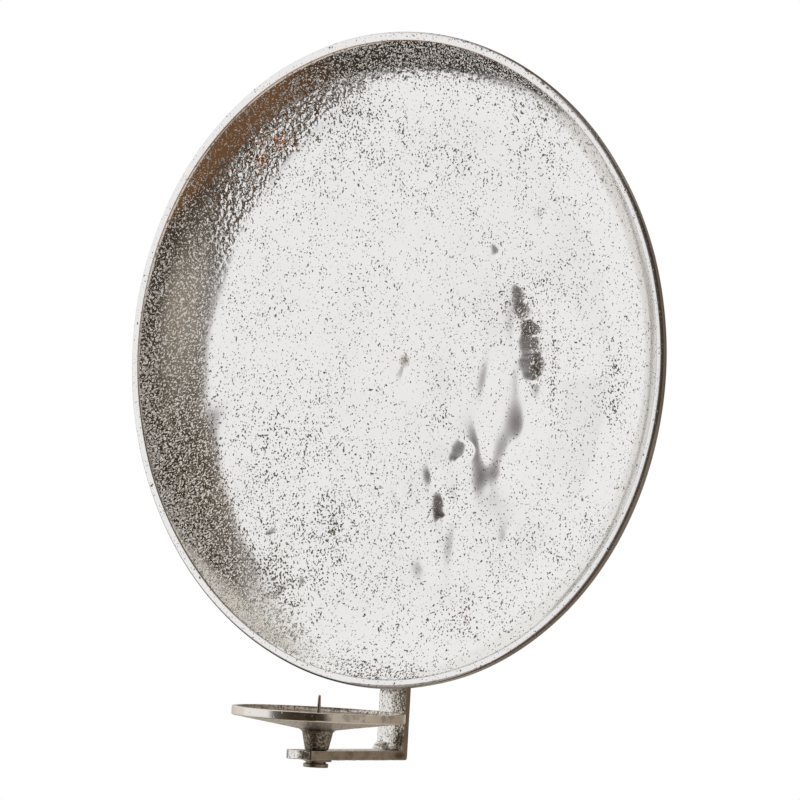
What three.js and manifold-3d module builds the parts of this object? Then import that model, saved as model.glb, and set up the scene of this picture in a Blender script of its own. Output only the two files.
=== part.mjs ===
// Wall candle holder: a round cast dish that reflects the candle's light, with an L-shaped
// bracket behind its lower edge. The bracket's arm carries a shallow candle plate on one
// screw, so the plate turns. A keyhole strap high on the dish's back takes the wall screw.
//
// Millimetres, +Z up. The wall is the plane Y = 0 and the dish faces -Y. The origin is on
// the strap's wall face, on the centre line just above the keyhole, where the wall screw
// carries the weight.

import * as THREE from 'three';
import { mergeVertices } from 'three/addons/utils/BufferGeometryUtils.js';
import Module from 'manifold-3d';

// Dish
const dishDiameter = 400;
const dishInnerDepth = 14; // from the rim's front face to the floor
const dishFloorThickness = 3.6;
const dishCoveWidth = 44; // from the rim's inner edge to where the floor is flat
const dishCoveFullness = 2.2; // 1 is a straight slope, more is rounder
const rimFaceWidth = 2.8; // the flat ground front of the rim
const rimOuterRound = 2.7;
const dishHangDrop = 130; // from the origin down to the dish's centre
const wallGap = 8.5; // from the dish's flat back to the wall

// Bracket
const barWidth = 20;
const uprightThickness = 5;
const uprightBelowDish = 43; // from the dish's lowest edge to the bracket's underside
const uprightBehindDish = 58; // from the dish's lowest edge to the bracket's top
const uprightTopRound = 4;
const armThickness = 6;
const armReach = 98; // from the wall to the arm's front end
const armEndRound = 2;
const bracketHeelRound = 1.5;
const bracketInnerFillet = 4.5;
const castLumpLength = 9; // the uneven end of the inside fillet, along the bar's width
const castLumpReach = 5.4;
const castLumpHeight = 4.6;

// Pad on the dish's back that the bracket is screwed to
const padMargin = 3;
const padCornerRound = 6;
const padEdgeInset = 10; // from the dish's lowest edge to the pad's lower end

// Candle plate
const plateDiameter = 105;
const plateHeight = 24; // from the arm's top to the plate's rim
const plateBandHeight = 4.7;
const plateBandFootRound = 0.8;
const plateLipWidth = 3;
const plateLipRound = 0.5;
const plateLipRun = 2; // how far the lip's inside slopes in before the floor starts
const plateConeDegrees = 8.9;
const plateWall = 3.6;
const plateSeatRadius = 16; // the level middle of the plate's floor
const plateAxisReach = 80; // from the wall to the axis that the plate turns on
const stemFootRadius = 7.2;
const stemNeckRadius = 9.1;
const stemFlareRadius = 13;
const stemFlareHeight = 3.2;

// Candle spike
const spikeDiameter = 3.2;
const spikeTipDiameter = 1.1;
const spikeAboveRim = 9;
const spikeDepth = 2.8; // pressed into the plate's floor

// Plate screw and its washers
const plateScrewDiameter = 6;
const plateScrewLength = 20;
const plateScrewHead = 15.2;
const plateScrewHeadHeight = 2.5;
const plateScrewHeadRound = 0.6;
const plateScrewRecess = 7;
const washerDiameter = 17;
const washerHole = 8.6;
const washerThickness = 1;
const washerSlip = 1.1; // how far the loose washer has slipped sideways
const springWasherDiameter = 12.4;
const springWasherThickness = 1.2;
const springWasherSplit = 1;
const springWasherSplitLean = 35; // degrees from upright

// Countersunk screws: two hold the bracket and two hold the strap
const bracketScrew = { diameter: 5, length: 10, head: 9.6, recess: 5 };
const bracketScrewFromEdge = 22; // from the dish's lowest edge to the lower screw
const bracketScrewSpacing = 26;
const strapScrew = { diameter: 4, length: 8, head: 7.8, recess: 4.2 };
const countersinkDegrees = 45;
const screwTipChamfer = 0.5;
const recessWidth = 1.1;
const recessDepth = 1.6;

// Keyhole strap, and the two bosses on the dish's back that it is screwed to
const strapWidth = 20;
const strapThickness = 2.5;
const strapCornerRound = 4;
const strapScrewAbove = 10; // from the origin up to the upper screw
const strapScrewBelow = 32; // from the origin down to the lower screw
const strapEndMargin = 8; // from each screw to its end of the strap
const keyholeSlotWidth = 5;
const keyholeSlotTop = 3.5; // from the origin down to the top of the slot
const keyholeEntryDiameter = 10;
const keyholeEntryDrop = 16; // from the origin down to the centre of the entry hole
const bossTopDiameter = 13;
const bossFootDiameter = 15;

// Clearances
const threadGap = 0.25; // round a screw in its tapped hole
const seatGap = 0.3; // round a screw where it passes through, and round its head
const headSink = 0.2; // from a countersunk head to the face that it is sunk in
const spikeGap = 0.15;
const tapRunout = 0.8; // from a screw's tip to the end of its tapped hole
const overshoot = 1; // how far a cutting tool runs past the face that it cuts

// Facets
const dishFacets = 88;
const plateFacets = 72;
const washerFacets = 36;
const smallFacets = 24;
const lumpFacets = 12;
const lumpRings = 8;
const coveSteps = 8;
const roundSteps = 3;

// Worked out from the sizes above
const dishRadius = dishDiameter / 2;
const rimInnerRadius = dishRadius - rimFaceWidth - rimOuterRound;
const dishFlatRadius = rimInnerRadius - dishCoveWidth;
const dishDepth = dishInnerDepth + dishFloorThickness;
const dishRimY = -(wallGap + dishDepth);
const dishBottomZ = -dishHangDrop - dishRadius;
const padHeight = wallGap - uprightThickness;
const bossHeight = wallGap - strapThickness;
const bracketHeight = uprightBelowDish + uprightBehindDish;
const bracketBottomZ = dishBottomZ - uprightBelowDish;
const bracketScrewZ = [bracketScrewFromEdge, bracketScrewFromEdge + bracketScrewSpacing];
const strapScrewZ = [-strapScrewBelow, strapScrewAbove];
const plateRadius = plateDiameter / 2;
const coneSlope = Math.tan(THREE.MathUtils.degToRad(plateConeDegrees));
const countersinkSlope = Math.tan(THREE.MathUtils.degToRad(countersinkDegrees));
const plateFloorHeight = plateUnderside(plateSeatRadius) + plateWall;
const screwInPlate = plateScrewLength - armThickness - washerThickness - springWasherThickness;

// The height above the arm of the plate's conical underside at a radius.
function plateUnderside(radius) {
  const coneRadius = plateRadius - plateBandFootRound;
  const coneTop = plateHeight - plateBandHeight - plateBandFootRound;
  return coneTop - coneSlope * (coneRadius - radius);
}

// Solids

const wasm = await Module();
wasm.setup();

// A closed geometry as a solid, with shared corners and no empty triangles.
function toSolid(geometry) {
  const bare = new THREE.BufferGeometry();
  bare.setAttribute('position', geometry.attributes.position);
  bare.setIndex(geometry.index);
  const merged = mergeVertices(bare, 1e-4);
  const triangles = [];
  for (let i = 0; i < merged.index.count; i += 3) {
    const corners = [0, 1, 2].map((k) => merged.index.getX(i + k));
    if (new Set(corners).size === 3) triangles.push(...corners);
  }
  const vertProperties = merged.attributes.position.array;
  const triVerts = new Uint32Array(triangles);
  return new wasm.Manifold(new wasm.Mesh({ numProp: 3, vertProperties, triVerts }));
}

function toGeometry(solid) {
  const mesh = solid.getMesh();
  const geometry = new THREE.BufferGeometry();
  geometry.setAttribute('position', new THREE.BufferAttribute(mesh.vertProperties, 3));
  geometry.setIndex(new THREE.BufferAttribute(mesh.triVerts, 1));
  geometry.computeVertexNormals();
  return geometry;
}

function cut(solid, ...tools) {
  return tools.reduce((rest, tool) => rest.subtract(tool), solid);
}

function join(solid, ...others) {
  return others.reduce((whole, other) => whole.add(other), solid);
}

// Points [radius, height] along an arc of a profile, between two angles in degrees. The arc
// is round unless it has two radii.
function arc(centre, radii, from, to, steps = roundSteps) {
  const [across, up] = Array.isArray(radii) ? radii : [radii, radii];
  return Array.from({ length: steps + 1 }, (_, i) => {
    const angle = THREE.MathUtils.degToRad(from + ((to - from) * i) / steps);
    return [centre[0] + across * Math.cos(angle), centre[1] + up * Math.sin(angle)];
  });
}

// A profile of [radius, height] turned about +Y. It runs outwards along its underside and
// back along its top.
function turnedAlongY(profile, facets) {
  return toSolid(new THREE.LatheGeometry(profile.map(([r, y]) => new THREE.Vector2(r, y)), facets));
}

// The same, turned about +Z.
function turnedAlongZ(profile, facets) {
  return turnedAlongY(profile, facets).rotate([90, 0, 0]);
}

// A rectangle centred on a point, with its corners rounded.
function roundedRectangle(centreX, centreY, width, height, radius) {
  const [x, y] = [centreX - width / 2, centreY - height / 2];
  const shape = new THREE.Shape();
  shape.absarc(x + width - radius, y + radius, radius, -Math.PI / 2, 0);
  shape.absarc(x + width - radius, y + height - radius, radius, 0, Math.PI / 2);
  shape.absarc(x + radius, y + height - radius, radius, Math.PI / 2, Math.PI);
  shape.absarc(x + radius, y + radius, radius, Math.PI, Math.PI * 1.5);
  return shape;
}

function extrude(shape, depth) {
  return new THREE.ExtrudeGeometry(shape, { depth, bevelEnabled: false, curveSegments: roundSteps });
}

// An outline of (y, z), extruded along X and centred on X = 0.
function extrudeAlongX(shape, width) {
  const turn = new THREE.Matrix4().makeBasis(
    new THREE.Vector3(0, 1, 0),
    new THREE.Vector3(0, 0, 1),
    new THREE.Vector3(1, 0, 0),
  );
  return toSolid(extrude(shape, width).applyMatrix4(turn).translate(-width / 2, 0, 0));
}

// An outline of (x, z), extruded between two values of Y.
function extrudeAlongY(shape, fromY, toY) {
  return toSolid(extrude(shape, toY - fromY).rotateX(Math.PI / 2).translate(0, toY, 0));
}

// An outline of (x, y), extruded between two values of Z.
function extrudeAlongZ(shape, fromZ, toZ) {
  return toSolid(extrude(shape, toZ - fromZ).translate(0, 0, fromZ));
}

// A round bar along +Y from the origin, for a hole.
function drillBar(diameter, length) {
  const bar = new THREE.CylinderGeometry(diameter / 2, diameter / 2, length, smallFacets);
  return bar.translate(0, length / 2, 0);
}

function drillAlongY(diameter, fromY, toY, atZ) {
  return toSolid(drillBar(diameter, toY - fromY).translate(0, fromY, atZ));
}

function drillAlongZ(diameter, fromZ, toZ, atY) {
  return toSolid(drillBar(diameter, toZ - fromZ).rotateX(Math.PI / 2).translate(0, atY, fromZ));
}

// Dish

// How far the cove has dropped towards the floor, 0 at the rim and 1 at the floor, a share
// t of the way in. It is steepest at the rim and level where it meets the floor.
function coveDrop(t) {
  return 1 - (1 - t) ** dishCoveFullness;
}

// The cove's profile from an edge of the dish in to the flat floor.
function coveProfile(edge, floorY) {
  return Array.from({ length: coveSteps + 1 }, (_, i) => {
    const t = i / coveSteps;
    return [edge[0] + (dishFlatRadius - edge[0]) * t, edge[1] + (floorY - edge[1]) * coveDrop(t)];
  });
}

// Built with its centre on the Y axis and its rim's front face at Y = 0.
function reflectorDish() {
  const front = coveProfile([rimInnerRadius, 0], dishInnerDepth);
  const back = coveProfile([dishRadius, rimOuterRound], dishDepth);
  const rimEdge = arc([dishRadius - rimOuterRound, rimOuterRound], rimOuterRound, -90, 0);
  const shell = turnedAlongY(
    [[0, dishInnerDepth], ...front.toReversed(), ...rimEdge, ...back.slice(1), [0, dishDepth]],
    dishFacets,
  );

  // The pad and bosses start halfway through the wall that they stand on.
  const halfWall = dishFloorThickness / 2;
  const inFront = turnedAlongY(
    [
      [0, -overshoot],
      [rimInnerRadius, -overshoot],
      ...front.map(([r, y]) => [r, y + halfWall]),
      [0, dishInnerDepth + halfWall],
    ],
    dishFacets,
  );
  const padBottom = padEdgeInset - dishRadius;
  const padTop = uprightBehindDish + padMargin - dishRadius;
  const padOutline = roundedRectangle(
    0,
    (padBottom + padTop) / 2,
    barWidth + 2 * padMargin,
    padTop - padBottom,
    padCornerRound,
  );
  const pad = cut(extrudeAlongY(padOutline, 0, dishDepth + padHeight), inFront);
  const bosses = strapScrewZ.map((z) => {
    const profile = [
      [0, dishInnerDepth + halfWall],
      [bossFootDiameter / 2, dishInnerDepth + halfWall],
      [bossFootDiameter / 2, dishDepth],
      [bossTopDiameter / 2, dishDepth + bossHeight],
      [0, dishDepth + bossHeight],
    ];
    return turnedAlongY(profile, smallFacets).translate([0, 0, z + dishHangDrop]);
  });

  const bracketTaps = bracketScrewZ.map((z) =>
    tappedHole(bracketScrew, dishDepth + padHeight, uprightThickness, z - dishRadius),
  );
  const strapTaps = strapScrewZ.map((z) =>
    tappedHole(strapScrew, dishDepth + bossHeight, strapThickness, z + dishHangDrop),
  );
  return cut(join(shell, pad, ...bosses), ...bracketTaps, ...strapTaps);
}

// A blind hole down from a face for a screw that first passes through a bar.
function tappedHole(screw, faceY, barThickness, atZ) {
  const depth = screw.length + headSink - barThickness + tapRunout;
  return drillAlongY(screw.diameter + 2 * threadGap, faceY - depth, faceY + overshoot, atZ);
}

// Countersunk screws and their holes

// A slot across a screw head, whose top is at Y = 0.
function recessSlot(length) {
  const slot = new THREE.BoxGeometry(length, recessDepth + overshoot, recessWidth);
  return toSolid(slot.translate(0, (overshoot - recessDepth) / 2, 0));
}

function crossRecess(length) {
  return [recessSlot(length), recessSlot(length).rotate([0, 90, 0])];
}

// A screw with its head's top at Y = 0.
function countersunkScrew(screw) {
  const shank = screw.diameter / 2;
  const head = screw.head / 2;
  const profile = [
    [0, -screw.length],
    [shank - screwTipChamfer, -screw.length],
    [shank, screwTipChamfer - screw.length],
    [shank, (shank - head) / countersinkSlope],
    [head, 0],
    [0, 0],
  ];
  return cut(turnedAlongY(profile, smallFacets), ...crossRecess(screw.recess));
}

// The hole for such a screw through a bar whose wall face is at Y = 0.
function countersunkHole(screw, barThickness, atZ) {
  const shank = screw.diameter / 2 + seatGap;
  const head = screw.head / 2 + seatGap;
  const profile = [
    [0, -barThickness - overshoot],
    [shank, -barThickness - overshoot],
    [shank, (shank - head) / countersinkSlope],
    [head, 0],
    [head, overshoot],
    [0, overshoot],
  ];
  return turnedAlongY(profile, smallFacets).translate([0, 0, atZ]);
}

// Bracket, built with its wall face at Y = 0 and its underside at Z = 0.
function bracket() {
  const side = new THREE.Shape();
  side.moveTo(-armReach, 0);
  side.absarc(-bracketHeelRound, bracketHeelRound, bracketHeelRound, -Math.PI / 2, 0);
  side.lineTo(0, bracketHeight);
  side.lineTo(-uprightThickness, bracketHeight);
  const filletY = -uprightThickness - bracketInnerFillet;
  side.absarc(filletY, armThickness + bracketInnerFillet, bracketInnerFillet, 0, -Math.PI / 2, true);
  side.lineTo(-armReach, armThickness);
  side.closePath();

  // The outlines from above and from the front round the arm's end and the upright's top.
  const planLength = armReach + armEndRound;
  const plan = roundedRectangle(0, planLength / 2 - armReach, barWidth, planLength, armEndRound);
  const frontHeight = bracketHeight + uprightTopRound;
  const face = roundedRectangle(0, bracketHeight - frontHeight / 2, barWidth, frontHeight, uprightTopRound);

  const bar = extrudeAlongX(side, barWidth)
    .intersect(extrudeAlongZ(plan, -overshoot, bracketHeight + overshoot))
    .intersect(extrudeAlongY(face, -armReach - overshoot, overshoot));

  // The lump is the quarter of a round lump that stands in the inside corner.
  const lumpRound = new THREE.SphereGeometry(1, lumpFacets, lumpRings)
    .scale(castLumpLength, castLumpReach, castLumpHeight)
    .translate(-barWidth / 2, -uprightThickness, armThickness);
  const cornerRoom = roundedRectangle(0, bracketHeight / 2, barWidth, bracketHeight, uprightTopRound);
  const lump = toSolid(lumpRound).intersect(extrudeAlongY(cornerRoom, -armReach, -uprightThickness / 2));

  const armHoleDiameter = plateScrewDiameter + 2 * seatGap;
  const armHole = drillAlongZ(armHoleDiameter, -overshoot, armThickness + overshoot, -plateAxisReach);
  const screwHoles = bracketScrewZ.map((z) =>
    countersunkHole(bracketScrew, uprightThickness, uprightBelowDish + z),
  );
  return cut(join(bar, lump), armHole, ...screwHoles);
}

// Candle plate and stem, built with the stem's foot at Z = 0 and the axis on Z.
function candlePlate() {
  const tap = plateScrewDiameter / 2 + threadGap;
  const tapEnd = screwInPlate + tapRunout;
  const coneRadius = plateRadius - plateBandFootRound;
  const bandFoot = plateHeight - plateBandHeight;
  const neckHeight = plateUnderside(stemFlareRadius) - stemFlareHeight;
  const flare = arc(
    [stemFlareRadius, neckHeight],
    [stemFlareRadius - stemNeckRadius, stemFlareHeight],
    180,
    90,
  );
  const lipInner = plateRadius - plateLipWidth;
  const floorEdge = lipInner - plateLipRun;
  const lipDrop = plateHeight - plateUnderside(floorEdge) - plateWall;
  const lipInside = arc([floorEdge, plateHeight], [plateLipRun, lipDrop], 0, -90);
  const spikeHole = spikeDiameter / 2 + spikeGap;
  const spikeHoleEnd = plateFloorHeight - spikeDepth - spikeGap;
  return turnedAlongZ(
    [
      [0, tapEnd],
      [tap, tapEnd],
      [tap, 0],
      [stemFootRadius, 0],
      ...flare,
      ...arc([coneRadius, bandFoot], plateBandFootRound, -90, 0),
      ...arc([plateRadius - plateLipRound, plateHeight - plateLipRound], plateLipRound, 0, 90),
      ...lipInside,
      [plateSeatRadius, plateFloorHeight],
      [spikeHole, plateFloorHeight],
      [spikeHole, spikeHoleEnd],
      [0, spikeHoleEnd],
    ],
    plateFacets,
  );
}

// Candle spike, built with the plate's floor at Z = 0.
function candleSpike() {
  const foot = spikeDiameter / 2;
  const tip = spikeTipDiameter / 2;
  const rise = plateHeight + spikeAboveRim - plateFloorHeight;
  const roundTip = arc([0, rise - tip], tip, 0, 90);
  return turnedAlongZ([[0, -spikeDepth], [foot, -spikeDepth], [foot, 0], ...roundTip], smallFacets);
}

// Plate screw, built with its head's underside at Z = 0 and its shank upwards.
function plateScrew() {
  const shank = plateScrewDiameter / 2;
  const head = plateScrewHead / 2;
  const round = plateScrewHeadRound;
  const profile = [
    [0, -plateScrewHeadHeight],
    ...arc([head - round, round - plateScrewHeadHeight], round, -90, 0),
    ...arc([head - round, -round], round, 0, 90),
    [shank, 0],
    [shank, plateScrewLength - screwTipChamfer],
    [shank - screwTipChamfer, plateScrewLength],
    [0, plateScrewLength],
  ];
  const recess = crossRecess(plateScrewRecess).map((slot) =>
    slot.rotate([-90, 0, 0]).translate([0, 0, -plateScrewHeadHeight]),
  );
  return cut(turnedAlongZ(profile, washerFacets), ...recess);
}

// A flat ring from Z = 0 up.
function ring(inner, outer, thickness) {
  const profile = [[inner, 0], [outer, 0], [outer, thickness], [inner, thickness], [inner, 0]];
  return turnedAlongZ(profile, washerFacets);
}

function springWasher() {
  const inner = plateScrewDiameter / 2 + seatGap;
  const outer = springWasherDiameter / 2;
  const split = new THREE.BoxGeometry(outer, springWasherSplit, springWasherThickness + 2 * overshoot);
  const lean = THREE.MathUtils.degToRad(springWasherSplitLean);
  split.rotateX(lean).translate(outer, 0, springWasherThickness / 2);
  return cut(ring(inner, outer, springWasherThickness), toSolid(split));
}

// Keyhole strap, built where it hangs: its wall face is at Y = 0.
function hangerStrap() {
  const top = strapScrewAbove + strapEndMargin;
  const bottom = -strapScrewBelow - strapEndMargin;
  const outline = roundedRectangle(0, (top + bottom) / 2, strapWidth, top - bottom, strapCornerRound);
  const slotCentre = -keyholeSlotTop - keyholeSlotWidth / 2;
  const toolDepth = strapThickness + 2 * overshoot;
  const slot = toSolid(
    new THREE.BoxGeometry(keyholeSlotWidth, toolDepth, slotCentre + keyholeEntryDrop)
      .translate(0, -strapThickness / 2, (slotCentre - keyholeEntryDrop) / 2),
  );
  return cut(
    extrudeAlongY(outline, -strapThickness, 0),
    slot,
    drillAlongY(keyholeSlotWidth, -strapThickness - overshoot, overshoot, slotCentre),
    drillAlongY(keyholeEntryDiameter, -strapThickness - overshoot, overshoot, -keyholeEntryDrop),
    ...strapScrewZ.map((z) => countersunkHole(strapScrew, strapThickness, z)),
  );
}

// Finishes

const castAluminium = { color: 0xd6d4d0, metalness: 1, roughness: 0.32 };
const castBracket = { color: 0xb4aea5, metalness: 1, roughness: 0.45 };
const castPlate = { color: 0xbfbab1, metalness: 1, roughness: 0.4 };
const steel = { color: 0x8f8a84, metalness: 1, roughness: 0.3 };
const zincPlate = { color: 0xa9a59f, metalness: 1, roughness: 0.4 };

// Assembly

function piece(name, solid, finish, x = 0, y = 0, z = 0) {
  const mesh = new THREE.Mesh(toGeometry(solid), new THREE.MeshStandardMaterial(finish));
  mesh.name = name;
  mesh.position.set(x, y, z);
  return mesh;
}

const holder = new THREE.Group();
holder.add(piece('reflector_dish', reflectorDish(), castAluminium, 0, dishRimY, -dishHangDrop));
holder.add(piece('hanger_strap', hangerStrap(), zincPlate));
['lower', 'upper'].forEach((place, i) => {
  const z = strapScrewZ[i];
  holder.add(piece(`hanger_screw_${place}`, countersunkScrew(strapScrew), steel, 0, -headSink, z));
});

// Everything on the bracket is placed from its wall face and its underside.
const bracketGroup = new THREE.Group();
bracketGroup.position.z = bracketBottomZ;
bracketGroup.add(piece('bracket', bracket(), castBracket));
['lower', 'upper'].forEach((place, i) => {
  const z = uprightBelowDish + bracketScrewZ[i];
  bracketGroup.add(piece(`bracket_screw_${place}`, countersunkScrew(bracketScrew), steel, 0, -headSink, z));
});
holder.add(bracketGroup);

// What turns with the candle plate is placed from the arm's top, on the plate's axis.
const plateGroup = new THREE.Group();
plateGroup.position.set(0, -plateAxisReach, armThickness);
const washerZ = -armThickness - washerThickness;
const springWasherZ = washerZ - springWasherThickness;
const washerRing = ring(washerHole / 2, washerDiameter / 2, washerThickness);
plateGroup.add(piece('candle_plate', candlePlate(), castPlate));
plateGroup.add(piece('candle_spike', candleSpike(), steel, 0, 0, plateFloorHeight));
plateGroup.add(piece('plate_washer', washerRing, zincPlate, washerSlip, 0, washerZ));
plateGroup.add(piece('plate_spring_washer', springWasher(), steel, 0, 0, springWasherZ));
plateGroup.add(piece('plate_screw', plateScrew(), zincPlate, 0, 0, springWasherZ));
bracketGroup.add(plateGroup);

export default holder;
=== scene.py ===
"""The looks of a wall candle holder: a cast dish, its bracket, and a candle plate on a screw.

The wall is the plane Y = 0 and the dish faces -Y. Shapes are worked out in millimetres and
go into the meshes in metres. Every new piece is a grid of points, worked out as whole
arrays from a formula that its function gives in words.
"""

import math

import bpy
import numpy as np
from mathutils import Matrix, Vector


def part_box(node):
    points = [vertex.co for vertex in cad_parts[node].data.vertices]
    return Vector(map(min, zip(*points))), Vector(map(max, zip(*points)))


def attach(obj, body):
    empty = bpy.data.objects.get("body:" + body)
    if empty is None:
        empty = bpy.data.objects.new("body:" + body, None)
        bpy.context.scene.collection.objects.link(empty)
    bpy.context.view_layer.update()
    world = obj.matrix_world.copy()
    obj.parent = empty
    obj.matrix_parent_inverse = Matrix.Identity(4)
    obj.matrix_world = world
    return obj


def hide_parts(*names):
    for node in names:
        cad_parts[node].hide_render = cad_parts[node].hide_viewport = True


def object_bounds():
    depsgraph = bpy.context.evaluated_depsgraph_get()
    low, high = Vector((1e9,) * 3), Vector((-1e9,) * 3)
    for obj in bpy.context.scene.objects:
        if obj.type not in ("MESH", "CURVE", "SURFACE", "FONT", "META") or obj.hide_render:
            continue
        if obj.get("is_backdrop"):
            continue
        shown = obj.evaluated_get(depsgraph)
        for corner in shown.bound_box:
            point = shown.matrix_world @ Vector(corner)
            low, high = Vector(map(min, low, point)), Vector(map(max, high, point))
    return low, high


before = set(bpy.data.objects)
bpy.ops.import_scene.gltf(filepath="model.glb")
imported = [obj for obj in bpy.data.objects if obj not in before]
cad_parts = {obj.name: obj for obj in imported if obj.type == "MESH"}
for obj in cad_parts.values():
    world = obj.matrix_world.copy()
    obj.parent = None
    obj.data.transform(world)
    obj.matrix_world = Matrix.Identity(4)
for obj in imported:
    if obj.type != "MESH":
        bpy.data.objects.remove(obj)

MM = 0.001
cad_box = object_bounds()


def corners(node):
    """The lowest and highest corners of a node of the frame, in millimetres."""
    low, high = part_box(node)
    return np.array(low) / MM, np.array(high) / MM


# Places that the frame gives, in millimetres
dish_low, dish_high = corners("reflector_dish")
bracket_low, bracket_high = corners("bracket")
plate_low, plate_high = corners("candle_plate")
spike_low, spike_high = corners("candle_spike")
washer_low, washer_high = corners("plate_washer")
spring_low, spring_high = corners("plate_spring_washer")
screw_low, screw_high = corners("plate_screw")
strap_low, _ = corners("hanger_strap")

DISH_RADIUS = (dish_high[0] - dish_low[0]) / 2
DISH_CENTRE_Z = (dish_high[2] + dish_low[2]) / 2
RIM_Y = dish_low[1]

# Dish, in millimetres; depths are behind the rim's front face. The last number is the share
# of the outer round's depth that was ground off where it isn't full.
DISH_INNER_DEPTH = 14.0
DISH_FLOOR_THICKNESS = 3.6
COVE_WIDTH = 44.0
COVE_FULLNESS = 2.2
RIM_FACE_WIDTH = 2.8
RIM_OUTER_ROUND = 2.7
RIM_STEP_DEPTH = 0.8
RIM_STEP_WIDTH = 0.3
RIM_STEP_ROUND = 0.12
RIM_INNER_RADIUS = DISH_RADIUS - RIM_FACE_WIDTH - RIM_OUTER_ROUND
DISH_FLAT_RADIUS = RIM_INNER_RADIUS - COVE_WIDTH
DISH_DEPTH = DISH_INNER_DEPTH + DISH_FLOOR_THICKNESS
GROUND_OFF = 0.65

# How far from the rim's inner edge the relief starts to fade and ends, from where both edges
# of the rim wander, and by how much
RELIEF_FADE = (1.0, 22.0)
EDGE_WANDER_REACH = 6.0
INNER_EDGE_WANDER = 0.3
OUTER_EDGE_WANDER = 0.2

# The dish's mesh: columns round it, the radius inside which its rings lie wider apart, and
# how far in from the cove's usual foot the rings of the cove start
DISH_COLUMNS = 576
COARSE_RADIUS = 46.0
FOOT_REACH = 14.0

# Soft dents in the dish's floor: the place of their dark left flank in x and z from the
# dish's centre, half widths across and along, lean from upright in degrees, and depth. A
# width below 0 makes a low bump, placed by its dark right flank.
DENTS = (
    (59, -7, 3.2, 9, -12, 0.30),
    (85, -36, 6.0, 10, 4, 0.90),
    (94, -21, 7, 10, -30, 0.28),
    (56, -51, 3.5, 9, 14, 0.55),
    (75.5, -50, 5, 8.5, -14, 0.58),
    (68, -60, 7, 7.5, -30, 0.80),
    (60, -71, 3.5, 5, -10, 0.16),
    (71, -71, 17, 10, -20, 0.85),
    (22, -70, 2.6, 4.2, 16, 0.44),
    (30, -88, 4, 9, 8, 0.30),
    (40, -80, 5, 6, 0, 0.32),
    (41, -106, 4, 12, -6, 0.28),
    (20, -121, 6, 5, -50, 0.36),
    (80, -101, 3, 4.0, -15, 0.16),
    (77, 26, 3, 10, 5, 0.15),
    (99, -10, 3, 7, -5, 0.25),
    (83, -8, 3, 8, 0, 0.15),
    (94, 92, 2.5, 3, 0, 0.12),
    (-68, -138, 2.2, 3, 0, 0.36),
    (-84, -146, 2.6, 5, -40, 0.30),
    (-122, -92, 9, 12, 20, 0.22),
    (-1, -84, 1.6, 5, 40, 0.12),
    (-139, -38, -7, 8, 0, 0.45),
)

# Hard-edged dents, which sink evenly to the right across an oval: centre x and z, half
# widths across and along, lean, slope in degrees, and over what distance they come back up
FACETS = (
    (81.5, 39, 3.2, 11, 14, 6, 40),
    (92.5, 9.5, 6.4, 19, 7, 6, 60),
    (87.5, 29, 4.6, 10.5, 16, 6, 40),
    (98, 1, 3.0, 7, 0, 6, 60),
    (42, -53, 4.0, 7, -24, 5.5, 8),
    (31, -87, 3.0, 8, 6, 5.5, 12),
    (32, -93, 4.5, 2.5, 0, 5.5, 12),
    (-3, -4, 2.0, 6.5, 0, 3, 8),
    (62, 70, 2.0, 3.2, 10, 5, 8),
    (-94, -109, 2.6, 3.2, -30, 6.5, 9),
)

# Where the floor waves most: centre x and z, half widths in x and z
WAVES = (62, -45, 42, 46)

# The outline of the hard-edged dents: how ragged the left edge is, how much their width
# varies, and how far from that edge they start to come back up, in half widths
FACET_RAGGED = 0.3
FACET_UNEVEN = 0.08
FACET_BACK_START = 2.6

# Where the main dents are rough inside: centre x and z, half widths in x and z, and lean
SCARS = (
    (84, 33, 6, 7, 20),
    (98, 8, 5, 16, 8),
)

# Copper-coloured flecks in the skin: centre x and z, half widths in x and z
COPPER_FLECKS = (
    (-111, 133, 4, 3),
    (-102, 131, 6, 3),
    (-116, 119, 4, 3),
)

# Where the dish is pitted more or less than elsewhere: centre x and z, half widths in x and
# z, lean, and how much
PITTED = (
    (-95, -50, 22, 26, 0, 0.22),
    (-78, -92, 38, 26, 0, 0.34),
    (-45, -122, 30, 22, 0, 0.26),
    (-100, -143, 30, 15, -40, 1.05),
    (41, -81, 6, 7, 0, 0.30),
    (120, -32, 4, 9, 0, 0.45),
    (-50, 148, 30, 20, -20, 0.48),
    (-104, 122, 34, 14, 45, 0.25),
    (36, 117, 14, 12, 0, 0.22),
    (88, 126, 26, 20, -35, 0.22),
    (40, 166, 50, 8, -14, 0.30),
    (86, 108, 5, 4, 0, 0.25),
    (94, 92, 6, 5, 0, 0.25),
    (156, -12, 5.5, 16, 0, 0.75),
    (110, 0, 2.0, 17, 6, 0.9),
    (123, -112, 42, 20, 40, 0.32),
    (2, -160, 7, 16, 0, 0.30),
    (50, -158, 9, 9, 0, 0.36),
    (70, -145, 18, 7, 35, 0.20),
    (20, -60, 40, 30, 0, 0.10),
    (88, 24, 7, 24, 18, 0.12),
    (84, 46, 26, 12, 0, 0.18),
    (84, 33, 8, 10, 14, 0.25),
    (97, 26, 6, 4, 0, 0.35),
    (0, -191, 24, 5, 0, 0.95),
    (112, -58, 30, 34, 0, -0.12),
    (96, 96, 20, 16, 0, -0.10),
)

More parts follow.
